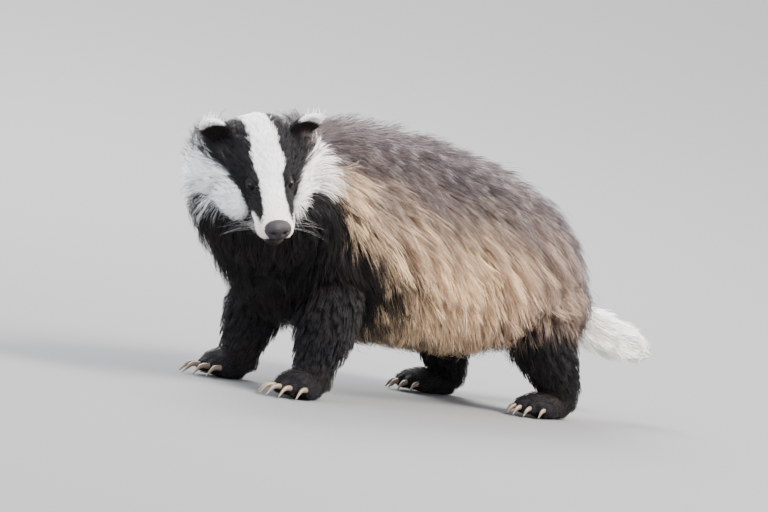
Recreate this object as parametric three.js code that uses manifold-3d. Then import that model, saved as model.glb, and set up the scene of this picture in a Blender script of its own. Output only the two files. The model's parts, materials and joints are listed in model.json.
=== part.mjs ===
// European badger, standing with its haunches low and its face turned to its left.
// Life size, in millimetres, +Z up. The body lies along X: the nose end is towards -X, the tail towards +X,
// and the animal's left flank faces -Y. The four soles stand on Z = 0.
import * as THREE from "three";
import { mergeVertices } from "three/addons/utils/BufferGeometryUtils.js";
import Module from "manifold-3d";

const wasm = await Module();
wasm.setup();

// Driving dimensions
const BACK_HEIGHT = 326; // withers, to the tips of the coat
const RUMP_X = 478; // from the middle of the shoulders to the end of the rump
const TRUNK_WIDTH = 262; // widest, over the flanks
const TAIL_LENGTH = 165; // to the tips of its hair
const CLEARANCE = 0.3; // gap that touching pieces keep
const LOCK_GAP = 0.8; // the same round a lock of the coat
const COAT = { torso: 20, neck: 20, tail: 12 }; // from the core to the tips of the coat
const EYE_RADIUS = 5.6;
const CLAW = { fore: 23, hind: 13 };

const vec = (x, y, z) => new THREE.Vector3(x, y, z);
const UP = vec(0, 0, 1);
const degrees = Math.PI / 180;

// A small repeatable source of random numbers.
function seeded(seed) {
  let state = seed;
  return () => {
    state = (state * 1664525 + 1013904223) % 4294967296;
    return state / 4294967296;
  };
}

// A closed BufferGeometry made into a solid, and a solid made into a named mesh.
function solid(geometry) {
  const bare = geometry.clone();
  for (const name of Object.keys(bare.attributes)) {
    if (name !== "position") bare.deleteAttribute(name);
  }
  const merged = mergeVertices(bare, 1e-4);
  const mesh = new wasm.Mesh({
    numProp: 3,
    vertProperties: merged.attributes.position.array,
    triVerts: new Uint32Array(merged.index.array),
  });
  return new wasm.Manifold(mesh);
}

// The largest closed surface of a solid.
function largest(body) {
  const pieces = body.decompose();
  pieces.sort((a, b) => b.volume() - a.volume());
  return pieces[0];
}

function union(list) {
  return list.length === 1 ? list[0] : wasm.Manifold.union(list);
}

function named(name, body, material) {
  const kept = largest(body).getMesh();
  const geometry = new THREE.BufferGeometry();
  const step = kept.numProp;
  const positions = new Float32Array(kept.numVert * 3);
  for (let i = 0; i < kept.numVert; i++) {
    positions.set(kept.vertProperties.subarray(i * step, i * step + 3), i * 3);
  }
  geometry.setAttribute("position", new THREE.BufferAttribute(positions, 3));
  geometry.setIndex(new THREE.BufferAttribute(kept.triVerts, 1));
  geometry.computeVertexNormals();
  const mesh = new THREE.Mesh(geometry, material);
  mesh.name = name;
  return mesh;
}

// A body lofted along a smooth path. Each station is a centre with half sizes to the side, up and down, out
// to the tips of the coat, and the depth of the coat there. The section is an ellipse whose upper and lower
// halves may differ.
class Loft {
  constructor(stations, upFrom = UP, upTo = upFrom) {
    this.stations = stations;
    this.path = new THREE.CatmullRomCurve3(stations.map((s) => s.at));
    this.upFrom = upFrom;
    this.upTo = upTo;
  }

  // A half size at t, eased between the stations.
  size(key, t) {
    const last = this.stations.length - 1;
    const place = THREE.MathUtils.clamp(t, 0, 1) * last;
    const i = Math.min(Math.floor(place), last - 1);
    const value = (k) => this.stations[THREE.MathUtils.clamp(k, 0, last)][key];
    const f = place - i;
    const [a, b, c, d] = [value(i - 1), value(i), value(i + 1), value(i + 2)];
    const square = 2 * a - 5 * b + 4 * c - d;
    const cube = 3 * b - a - 3 * c + d;
    const eased = b + 0.5 * ((c - a) * f + square * f * f + cube * f ** 3);
    return Math.max(eased, 0);
  }

  frame(t) {
    const at = this.path.getPoint(THREE.MathUtils.clamp(t, 0, 1));
    const along = this.path.getTangent(THREE.MathUtils.clamp(t, 0, 1));
    const hint = this.upFrom.clone().lerp(this.upTo, t);
    const side = new THREE.Vector3().crossVectors(hint, along).normalize();
    const up = new THREE.Vector3().crossVectors(along, side);
    return { at, along, side, up };
  }

  // A point on the surface, pushed out by lift. Angle 0 is to the side and 90 degrees is up.
  // Past either end the surface goes on straight, so that hair can hang over it.
  point(t, angle, lift = 0) {
    const { at, along, side, up } = this.frame(t);
    const wide = this.size("side", t) + lift;
    const tall = this.size(Math.sin(angle) > 0 ? "up" : "down", t) + lift;
    const past = (t - THREE.MathUtils.clamp(t, 0, 1)) * this.path.getLength();
    return at
      .addScaledVector(side, Math.cos(angle) * wide)
      .addScaledVector(up, Math.sin(angle) * tall)
      .addScaledVector(along, past);
  }

  // The solid under the coat, or the whole one where there's none, all round bigger by grow.
  geometry(rings, sides, grow = 0) {
    const positions = [];
    for (let r = 0; r <= rings; r++) {
      const t = r / rings;
      for (let s = 0; s < sides; s++) {
        const p = this.point(t, (s / sides) * 2 * Math.PI, grow - this.size("coat", t));
        positions.push(p.x, p.y, p.z);
      }
    }
    const ends = [0, 1].map((t) => {
      const { at, along } = this.frame(t);
      const out = grow + 0.35 * (this.size("side", t) - this.size("coat", t));
      return at.addScaledVector(along, t ? out : -out);
    });
    for (const p of ends) positions.push(p.x, p.y, p.z);
    const start = (rings + 1) * sides;
    const faces = [];
    for (let s = 0; s < sides; s++) {
      const next = (s + 1) % sides;
      for (let r = 0; r < rings; r++) {
        const a = r * sides + s;
        const b = r * sides + next;
        faces.push(a, b, b + sides, a, b + sides, a + sides);
      }
      faces.push(start, next, s);
      faces.push(start + 1, rings * sides + s, rings * sides + next);
    }
    const geometry = new THREE.BufferGeometry();
    geometry.setAttribute("position", new THREE.Float32BufferAttribute(positions, 3));
    geometry.setIndex(faces);
    return geometry;
  }
}

const station = (at, side, up, down = up, coat = 0) => ({ at, side, up, down, coat });

// One lock of the coat: a flat, pointed strip with a low ridge. It is rooted in the core, follows the lie of
// the hair over a loft and reaches the outline of the coat at its tip.
// Each section: how far along, how deep in the coat, and how wide.
const LOCK_SECTIONS = [
  [0, 1.35, 0.8],
  [0.3, 0.66, 1],
  [0.7, 0.2, 0.76],
];
const LOCK_RIDGE = 7;

function lock(loft, { t, angle, run, sway, width, flare }, grow) {
  const place = (far, deep, lift = 0) => {
    const depth = loft.size("coat", t) * deep;
    return loft.point(t + run * far, angle + sway * far, lift + flare * far - depth);
  };
  const positions = [];
  for (const [far, deep, wide] of LOCK_SECTIONS) {
    const at = place(far, deep);
    const out = place(far, deep, 1).sub(at).normalize();
    const ahead = place(far + 0.1, deep).sub(at).normalize();
    const side = new THREE.Vector3().crossVectors(ahead, out).normalize();
    const half = (width * wide) / 2 + 6 * grow;
    at.addScaledVector(ahead, far === 0 ? -grow : 0);
    const low = at.clone().addScaledVector(out, -grow);
    const left = low.clone().addScaledVector(side, -half);
    const right = low.addScaledVector(side, half);
    const ridge = at.addScaledVector(out, LOCK_RIDGE * wide + 1.5 * grow);
    positions.push(...left, ...right, ...ridge);
  }
  const end = place(1, 0, -0.4 * grow);
  end.addScaledVector(end.clone().sub(place(0.9, 0)).normalize(), 6 * grow);
  positions.push(...end);
  const faces = [0, 1, 2];
  const tip = LOCK_SECTIONS.length * 3;
  for (let k = 0; k < 3; k++) {
    const next = (k + 1) % 3;
    for (let row = 0; row < tip - 3; row += 3) {
      const [a, b] = [row + k, row + next];
      faces.push(a, a + 3, b, b, a + 3, b + 3);
    }
    faces.push(tip - 3 + k, tip, tip - 3 + next);
  }
  const geometry = new THREE.BufferGeometry();
  geometry.setAttribute("position", new THREE.Float32BufferAttribute(positions, 3));
  geometry.setIndex(faces);
  return geometry;
}

// Rows of locks over a part of a loft, each row half a step round from the last, like tiles.
function coat(loft, spec, room = false) {
  const random = seeded(spec.seed);
  const spread = (amount) => (random() - 0.5) * amount;
  const grow = room ? LOCK_GAP : 0;
  const locks = [];
  for (let row = 0; row < spec.rows; row++) {
    for (let i = 0; i < spec.around; i++) {
      const t = THREE.MathUtils.lerp(spec.from, spec.to, row / (spec.rows - 1)) + spread(0.025);
      const angle = (spec.start + (spec.sweep * (i + (row % 2) / 2 + spread(0.3))) / spec.around) * degrees;
      const round = (loft.size("side", t) + loft.size("up", t)) * spec.sweep * degrees;
      const hair = {
        t,
        angle,
        run: (spec.length * (1 + spread(0.3))) / loft.path.getLength(),
        sway: spread(0.16) - spec.droop * Math.cos(angle),
        width: (round / 2 / spec.around) * spec.cover * (1 + spread(0.25)),
        flare: spec.flare,
      };
      locks.push(solid(lock(loft, hair, grow)));
    }
  }
  return union(locks);
}

// The trunk, from the chest to the end of the rump: the outline is the outer face of the coat.
const TRUNK_OUTLINE = [
  // x, y, top, bottom, half width
  [-62, -14, 304, 116, 80],
  [0, -2, BACK_HEIGHT - 3, 80, 106],
  [75, 3, BACK_HEIGHT, 68, 118],
  [160, 5, BACK_HEIGHT - 7, 62, 126],
  [250, 5, BACK_HEIGHT - 23, 58, TRUNK_WIDTH / 2],
  [335, 2, BACK_HEIGHT - 50, 58, TRUNK_WIDTH / 2 - 3],
  [396, -2, BACK_HEIGHT - 103, 66, 100],
  [442, -6, BACK_HEIGHT - 155, 84, 70],
  [RUMP_X, -10, BACK_HEIGHT - 196, 102, 36],
];

const trunk = new Loft(
  TRUNK_OUTLINE.map(([x, y, top, bottom, half]) => {
    const tall = (top - bottom) / 2;
    const depth = Math.min(COAT.torso, half * 0.6, tall * 0.6);
    return station(vec(x, y, (top + bottom) / 2), half, tall, tall, depth);
  }),
);
const TRUNK_COAT = {
  from: 0.16,
  to: 0.97,
  rows: 9,
  start: 0,
  sweep: 360,
  around: 10,
  length: 98,
  cover: 0.8,
  droop: 0.26,
  flare: 0,
  seed: 7,
};

// The head has its own frame: x forward to the nose, y to the animal's left, z up out of the crown.
const HEAD = { at: vec(-124, -70, 251), yaw: 64, nod: 30, tilt: 13 };

function headMatrix() {
  const [yaw, nod, tilt] = [HEAD.yaw, HEAD.nod, HEAD.tilt].map((a) => a * degrees);
  const level = vec(Math.sin(yaw), -Math.cos(yaw), 0);
  const forward = vec(-Math.cos(yaw), -Math.sin(yaw), 0).multiplyScalar(Math.cos(nod)).setZ(-Math.sin(nod));
  const crown = new THREE.Vector3().crossVectors(forward, level);
  const left = level.clone().applyAxisAngle(forward, tilt);
  const up = crown.applyAxisAngle(forward, tilt);
  return new THREE.Matrix4().makeBasis(forward, left, up).setPosition(HEAD.at);
}

const TO_BODY = headMatrix();
const onHead = (x, y, z) => vec(x, y, z).applyMatrix4(TO_BODY);
const headUp = vec(0, 0, 1).transformDirection(TO_BODY);

// The skull and upper muzzle: forward place, top, bottom, half width, and how much of it is the ruff.
const SKULL_OUTLINE = [
  [-84, 28, -50, 64, 16],
  [-62, 44, -68, 91, 32],
  [-36, 50, -72, 94, 34],
  [-10, 47, -62, 74, 20],
  [14, 37, -47, 47, 4],
  [34, 24, -38, 29, 0],
  [52, 14, -33, 25, 0],
  [70, 6, -31, 23, 0],
  [86, -1, -30, 20, 0],
  [93, -6, -27, 14, 0],
];
const JAW_OUTLINE = [
  [-30, -30, -60, 44, 0],
  [4, -30, -56, 32, 0],
  [34, -31, -49, 22, 0],
  [60, -32, -45, 17, 0],
  [78, -33, -42, 12, 0],
  [84, -34, -39, 7, 0],
];

function headStation([x, top, bottom, half]) {
  const tall = (top - bottom) / 2;
  return station(onHead(x, 0, (top + bottom) / 2), half, tall);
}

const bareStation = ([x, top, bottom, half, ruff]) => headStation([x, top, bottom, half - ruff]);
const skull = new Loft(SKULL_OUTLINE.map(bareStation), headUp);
const jaw = new Loft(JAW_OUTLINE.map(bareStation), headUp);
const ruff = new Loft(
  SKULL_OUTLINE.map((row) => ({ ...headStation(row), coat: row[4] })),
  headUp,
);
// Locks of the ruff, on the animal's left cheek and then on its right.
const RUFF_COAT = [-52, 142].map((start, i) => ({
  from: 0.14,
  to: 0.36,
  rows: 3,
  start,
  sweep: 94,
  around: 4,
  length: -50,
  cover: 1.25,
  droop: 0.12,
  flare: 3,
  seed: 51 + i,
}));

// The neck, from inside the shoulders to inside the back of the skull.
const NECK_OUTLINE = [
  // centre, half width, up, down: to the outside of the coat
  [vec(40, -2, 206), 104, 106, 104],
  [vec(-18, -10, 212), 104, 102, 100],
  [vec(-64, -28, 222), 104, 90, 96],
  [vec(-98, -50, 234), 100, 72, 90],
  [onHead(-14, 0, -10), 62, 42, 54],
];

const neck = new Loft(
  NECK_OUTLINE.map(([at, side, up, down]) => station(at, side, up, down, COAT.neck)),
  UP,
  headUp,
);
const NECK_COAT = {
  from: 0.34,
  to: 0.82,
  rows: 3,
  start: 0,
  sweep: 360,
  around: 10,
  length: -80,
  cover: 0.78,
  droop: 0.16,
  flare: 0,
  seed: 21,
};

const TAIL_OUTLINE = [
  // distance along the tail, half width
  [0, 20],
  [35, 28],
  [80, 31],
  [125, 28],
  [TAIL_LENGTH, 10],
];
const TAIL_ROOT = vec(RUMP_X - 34, -12, 124);
const TAIL_DIRECTION = vec(0.95, -0.05, -0.24).normalize();

const tail = new Loft(
  TAIL_OUTLINE.map(([along, half]) => {
    const at = TAIL_ROOT.clone().addScaledVector(TAIL_DIRECTION, along);
    return station(at, half, half, half, Math.min(COAT.tail, half * 0.6));
  }),
);
const TAIL_COAT = {
  from: 0.1,
  to: 0.72,
  rows: 3,
  start: 0,
  sweep: 360,
  around: 5,
  length: 60,
  cover: 0.62,
  droop: 0,
  flare: 0,
  seed: 33,
};

// Legs: points from the socket in the trunk down to the paw, then the paw itself with its toes.
const LEGS = {
  foreleg_left: {
    kind: "fore",
    side: -1,
    top: vec(22, -60, 128),
    joint: vec(8, -72, 78),
    wrist: vec(-4, -76, 36),
    toes: vec(-44, -80, 16),
  },
  foreleg_right: {
    kind: "fore",
    side: 1,
    top: vec(34, 60, 128),
    joint: vec(28, 72, 78),
    wrist: vec(20, 76, 36),
    toes: vec(-18, 82, 16),
  },
  hindleg_left: {
    kind: "hind",
    side: -1,
    top: vec(360, -58, 132),
    joint: vec(372, -78, 80),
    wrist: vec(402, -84, 32),
    toes: vec(344, -90, 15),
  },
  hindleg_right: {
    kind: "hind",
    side: 1,
    top: vec(344, 58, 132),
    joint: vec(350, 76, 80),
    wrist: vec(376, 82, 32),
    toes: vec(318, 90, 15),
  },
};
const LEG_HALF = {
  fore: { top: 34, joint: 35, wrist: 27 },
  hind: { top: 44, joint: 38, wrist: 26 },
};
const PAW = { fore: { half: 25, tall: 17 }, hind: { half: 23, tall: 15 } };

function legLoft({ kind, top, joint, wrist }) {
  const half = LEG_HALF[kind];
  return new Loft(
    [
      station(top, half.top, half.top),
      station(joint, half.joint, half.joint),
      station(wrist, half.wrist, half.wrist),
      station(wrist.clone().setZ(14), half.wrist - 2, half.wrist),
    ],
    vec(-1, 0, 0),
  );
}

function pawLoft({ kind, wrist, toes }) {
  const { half, tall } = PAW[kind];
  const heel = wrist.clone().setZ(tall);
  const middle = heel.clone().lerp(toes, 0.55);
  return new Loft([
    station(heel.clone().lerp(toes, -0.1), half * 0.74, tall * 1.1),
    station(middle, half, tall * 1.1),
    station(toes, half * 0.92, tall * 0.82),
  ]);
}

// Where each of a paw's five toes ends, and which way it points.
function toeTips({ kind, side, wrist, toes }) {
  const forward = toes.clone().sub(wrist).setZ(0).normalize();
  const across = vec(-forward.y, forward.x, 0).multiplyScalar(side);
  const half = PAW[kind].half;
  return [-1, -0.55, 0, 0.55, 1].map((k) => {
    const spread = k * 0.86;
    const back = 15 * k * k + (k === -1 ? 6 : 0);
    const tip = toes
      .clone()
      .addScaledVector(across, spread * half)
      .addScaledVector(forward, 14 - back)
      .setZ(11);
    const way = forward.clone().addScaledVector(across, k * 0.22).normalize();
    return { tip, way };
  });
}

function toeLoft({ tip, way }, half) {
  const start = tip.clone().addScaledVector(way, -24).setZ(15);
  return new Loft([
    station(start, half * 0.8, 9),
    station(start.clone().lerp(tip, 0.6), half, 10),
    station(tip, half * 0.72, 7),
  ]);
}

function clawLoft({ tip, way }, kind, grow = 0) {
  const length = CLAW[kind];
  const root = tip.clone().addScaledVector(way, -4).setZ(12.5);
  const bend = tip.clone().addScaledVector(way, length * 0.5).setZ(kind === "fore" ? 12 : 9.5);
  const point = tip.clone().addScaledVector(way, length).setZ(2.2);
  return new Loft([
    station(root, 2.6 + grow, 3.4 + grow),
    station(bend, 2.1 + grow, 2.7 + grow),
    station(point, 0.8, 0.9),
  ]);
}

const floorBelow = new THREE.BoxGeometry(2000, 2000, 100).translate(0, 0, -50);

function leg(spec) {
  const floor = solid(floorBelow);
  const toes = toeTips(spec);
  const toeHalf = spec.kind === "fore" ? 7 : 6.2;
  const flesh = union([
    solid(legLoft(spec).geometry(4, 8)),
    solid(pawLoft(spec).geometry(3, 8)),
    ...toes.map((toe) => solid(toeLoft(toe, toeHalf).geometry(2, 5))),
  ]);
  const socket = (toe) => solid(clawLoft(toe, spec.kind, CLEARANCE).geometry(2, 5));
  const sockets = union(toes.map(socket));
  return flesh.subtract(floor).subtract(sockets);
}

// The eye sits at the side of the brow, looking out, forward and a little up.
const EYE = { x: 35, y: 21.5, z: 9 };
const eyeCentre = (side) => onHead(EYE.x, side * EYE.y, EYE.z);

function eyeball(side, grow = 0) {
  const ball = new THREE.SphereGeometry(EYE_RADIUS + grow, 10, 8);
  return solid(ball.translate(...eyeCentre(side).toArray()));
}

// Upper and lower lid: a ring of skin round the eye, drawn flat so that the opening is a narrow oval.
function lids(side) {
  const ring = new THREE.TorusGeometry(EYE_RADIUS * 0.98, 1.9, 5, 12);
  ring.scale(1.12, 0.86, 1.15);
  const outward = vec(0.5, side * 0.82, 0.3).normalize();
  const turn = new THREE.Matrix4().lookAt(outward, vec(0, 0, 0), vec(0.3, 0, 1));
  turn.setPosition(vec(EYE.x, side * EYE.y, EYE.z).addScaledVector(outward, 2.6));
  return solid(ring.applyMatrix4(turn).applyMatrix4(TO_BODY));
}

// The ear: a low round cup with a thick edge, facing forward and out.
const EAR = { x: -34, y: 52, z: 37, wide: 19, tall: 22, thick: 9.5, wall: 4.5 };

function earForm(side, grow = 0) {
  const shell = new THREE.SphereGeometry(1, 12, 8);
  shell.scale(EAR.thick + grow, EAR.wide + grow, EAR.tall + grow);
  return placeEar(shell, side);
}

function placeEar(geometry, side) {
  const turn = new THREE.Matrix4().makeRotationFromEuler(
    new THREE.Euler(side * -32 * degrees, 14 * degrees, side * 24 * degrees),
  );
  turn.setPosition(EAR.x, side * EAR.y, EAR.z);
  return solid(geometry.applyMatrix4(turn).applyMatrix4(TO_BODY));
}

function ear(side) {
  const hollow = new THREE.SphereGeometry(1, 10, 6);
  hollow.scale(EAR.thick * 1.05, EAR.wide - EAR.wall, EAR.tall - EAR.wall);
  hollow.translate(EAR.thick * 0.75, 0, 4);
  return earForm(side).subtract(placeEar(hollow, side));
}

// The nose pad: a blunt cushion with two nostrils.
const NOSE = { x: 91, z: -13, deep: 9.5, wide: 15, tall: 11 };

function nosePad(grow = 0) {
  const pad = new THREE.SphereGeometry(1, 14, 10);
  pad.scale(NOSE.deep + grow, NOSE.wide + grow, NOSE.tall + grow);
  pad.translate(NOSE.x, 0, NOSE.z);
  return solid(pad.applyMatrix4(TO_BODY));
}

function nostril(side) {
  const hole = new THREE.SphereGeometry(1, 7, 5);
  hole.scale(6, 2.6, 3.4);
  hole.rotateZ(side * 24 * degrees);
  hole.translate(NOSE.x + 7, side * 7, NOSE.z - 1.5);
  return solid(hole.applyMatrix4(TO_BODY));
}

// The line of the mouth: a thin slot between the upper lips and the jaw, open at the front and sides.
function mouthLine() {
  const shape = new THREE.Shape();
  shape.moveTo(24, -40);
  shape.lineTo(24, 40);
  shape.lineTo(110, 40);
  shape.lineTo(110, -40);
  const slot = new THREE.ExtrudeGeometry(shape, { depth: 1.4, bevelEnabled: false });
  slot.translate(0, 0, -33.5);
  const tongueSide = new THREE.Shape();
  tongueSide.moveTo(10, -15);
  tongueSide.lineTo(10, 15);
  tongueSide.lineTo(66, 10);
  tongueSide.lineTo(76, 0);
  tongueSide.lineTo(66, -10);
  const kept = new THREE.ExtrudeGeometry(tongueSide, { depth: 6, bevelEnabled: false });
  kept.translate(0, 0, -36);
  return solid(slot.applyMatrix4(TO_BODY)).subtract(solid(kept.applyMatrix4(TO_BODY)));
}

// Skull, jaw and ruff in one, all round bigger by grow.
function headForm(grow = 0) {
  const bone = [solid(skull.geometry(12, 14, grow)), solid(jaw.geometry(6, 10, grow))];
  return union([...bone, ...RUFF_COAT.map((spec) => coat(ruff, spec, grow > 0))]);
}

// Colours and finishes
const coatMaterial = (name, color, roughness) =>
  new THREE.MeshStandardMaterial({ name, color, roughness, metalness: 0 });
const MATERIAL = {
  face: coatMaterial("face_coat", 0xe9e5df, 0.8),
  neck: coatMaterial("neck_coat", 0x4a4440, 0.85),
  body: coatMaterial("body_coat", 0xa79a8c, 0.85),
  tail: coatMaterial("tail_coat", 0xe4dccf, 0.85),
  leg: coatMaterial("leg_coat", 0x1b1817, 0.8),
  ear: coatMaterial("ear_coat", 0x2a2422, 0.8),
  nose: coatMaterial("nose_skin", 0x4d444d, 0.45),
  eye: coatMaterial("eye", 0x120c09, 0.08),
  claw: coatMaterial("claw_horn", 0x6b5c4c, 0.4),
};

const badger = new THREE.Group();
const put = (name, body, material) => badger.add(named(name, body, material));

const headRoom = headForm(0).add(headForm(CLEARANCE));
const neckForm = (grow) => solid(neck.geometry(7, 14, grow)).add(coat(neck, NECK_COAT, grow > 0));
const neckRoom = neckForm(0).add(neckForm(CLEARANCE));
const legRoom = union(Object.values(LEGS).map((spec) => solid(legLoft(spec).geometry(4, 8, CLEARANCE))));
const trunkCore = (grow) => solid(trunk.geometry(12, 14, grow));
const torso = trunkCore(0).subtract(legRoom).add(coat(trunk, TRUNK_COAT));
put("torso", torso.subtract(neckRoom).subtract(headRoom), MATERIAL.body);
put("neck", neckForm(0).subtract(headRoom).subtract(legRoom), MATERIAL.neck);
const fringeRoom = coat(trunk, TRUNK_COAT).add(coat(trunk, TRUNK_COAT, true));
const trunkRoom = trunkCore(CLEARANCE).add(fringeRoom);
put("tail", solid(tail.geometry(6, 8)).add(coat(tail, TAIL_COAT)).subtract(trunkRoom), MATERIAL.tail);

const eyeRoom = union([eyeball(1, CLEARANCE), eyeball(-1, CLEARANCE)]);
const earRoom = union([earForm(1, CLEARANCE), earForm(-1, CLEARANCE)]);
const face = union([headForm().subtract(mouthLine()), lids(1), lids(-1)]);
put("head", face.subtract(eyeRoom).subtract(earRoom).subtract(nosePad(CLEARANCE)), MATERIAL.face);
put("nose", nosePad().subtract(nostril(1)).subtract(nostril(-1)), MATERIAL.nose);
for (const [side, word] of [[1, "left"], [-1, "right"]]) {
  put(`eye_${word}`, eyeball(side), MATERIAL.eye);
  put(`ear_${word}`, ear(side), MATERIAL.ear);
}
for (const [name, spec] of Object.entries(LEGS)) {
  put(name, leg(spec).subtract(fringeRoom), MATERIAL.leg);
  toeTips(spec).forEach((toe, i) => {
    const claw = solid(clawLoft(toe, spec.kind).geometry(2, 5));
    put(`claw_${name}_${i + 1}`, claw, MATERIAL.claw);
  });
}

// The origin is the middle of the model's box, on the floor.
const box = new THREE.Box3().setFromObject(badger);
badger.position.set(-(box.min.x + box.max.x) / 2, -(box.min.y + box.max.y) / 2, -box.min.z);
const part = new THREE.Group();
part.add(badger);

export default part;
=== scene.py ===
# %% [markdown]
# # A badger in its coat
# A badger is a low, broad animal under a long, bristly coat: what the eye sees is hair, and only the
# eyes, nose pad, claws and the rims of the lids are bare. The solids below this lesson's work are already
# at life size, so each part here is made to fit them. First come the forms under the skin, then one skin,
# then the small bare parts, and at last some ninety-six thousand hairs that follow the lie of the coat.

# %% Start
import json

import bpy
import numpy as np
from mathutils import Matrix, Vector, kdtree
from mathutils.bvhtree import BVHTree

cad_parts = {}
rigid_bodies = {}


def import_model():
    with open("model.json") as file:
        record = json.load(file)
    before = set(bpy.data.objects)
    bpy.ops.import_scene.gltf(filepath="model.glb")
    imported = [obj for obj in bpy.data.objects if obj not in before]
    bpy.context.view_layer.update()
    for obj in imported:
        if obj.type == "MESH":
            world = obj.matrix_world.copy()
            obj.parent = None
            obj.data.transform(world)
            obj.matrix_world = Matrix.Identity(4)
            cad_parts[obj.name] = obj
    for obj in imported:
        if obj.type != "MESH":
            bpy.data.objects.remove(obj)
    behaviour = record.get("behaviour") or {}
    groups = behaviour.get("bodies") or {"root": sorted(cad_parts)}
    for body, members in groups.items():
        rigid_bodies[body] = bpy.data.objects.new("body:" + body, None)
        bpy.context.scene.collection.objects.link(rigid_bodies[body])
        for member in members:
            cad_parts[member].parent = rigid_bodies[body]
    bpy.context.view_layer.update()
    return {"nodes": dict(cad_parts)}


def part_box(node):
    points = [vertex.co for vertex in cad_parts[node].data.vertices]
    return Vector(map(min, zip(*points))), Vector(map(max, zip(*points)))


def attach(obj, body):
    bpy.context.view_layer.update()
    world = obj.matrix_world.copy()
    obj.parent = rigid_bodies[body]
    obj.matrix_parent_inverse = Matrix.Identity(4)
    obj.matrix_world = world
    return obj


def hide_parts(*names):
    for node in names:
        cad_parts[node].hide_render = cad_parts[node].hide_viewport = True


for leftover in list(bpy.data.objects):  # a new file brings a cube, a light and a camera
    bpy.data.objects.remove(leftover)
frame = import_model()
rng = np.random.default_rng(11)
print("parts handed on:", len(frame["nodes"]))

# %% [markdown]
# ## Sizes
# Everything is measured in millimetres in the animal's own frame: X from nose end to tail, Z up, the left
# flank on -Y, and zero between the shoulders. Blender counts in metres, which makes such small sizes hard
# to read, so only the last step turns them into metres, at their place on the floor. A few sizes drive
# the rest.

# %% Named sizes
BACK_HEIGHT = 326
RUMP_X = 478
TRUNK_WIDTH = 262
TAIL_LENGTH = 165
EYE_RADIUS = 5.6
SKIN_DEPTH = 25  # from the tips of the body's coat to the skin
HAIR_BODY = 0.62  # width of a body hair
HAIR_FACE = 0.36
THINNEST = 0.03  # half width that no form goes below
print("high", BACK_HEIGHT, "and wide", TRUNK_WIDTH, "mm, to the tips of the coat")


def unit(v):
    return v / np.maximum(np.linalg.norm(v, axis=-1, keepdims=True), 1e-9)


def smoothstep(low, high, x):
    f = np.clip((x - low) / (high - low), 0, 1)
    return f * f * (3 - 2 * f)


# %% [markdown]
# ## The forms under the coat
# Trunk, neck, tail and limbs are long rounded forms, so each is drawn as sections along a smooth line. A
# form that knows its own line is worth more than a lump of clay: every point near it can be asked how far
# along the animal it is and where round the body, which later gives the lie of the hair and the markings.

# %% A form along a line
BATCH = 20000  # points asked at a time, to spare memory


def ring_faces(rings, sides):
    """Four-cornered faces between each ring of points and the next."""
    ring = np.arange(sides)
    after = (ring + 1) % sides
    faces = []
    for a in range(0, rings * sides, sides):
        faces += np.stack([a + ring, a + after, a + sides + after, a + sides + ring], 1).tolist()
    return faces


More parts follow.
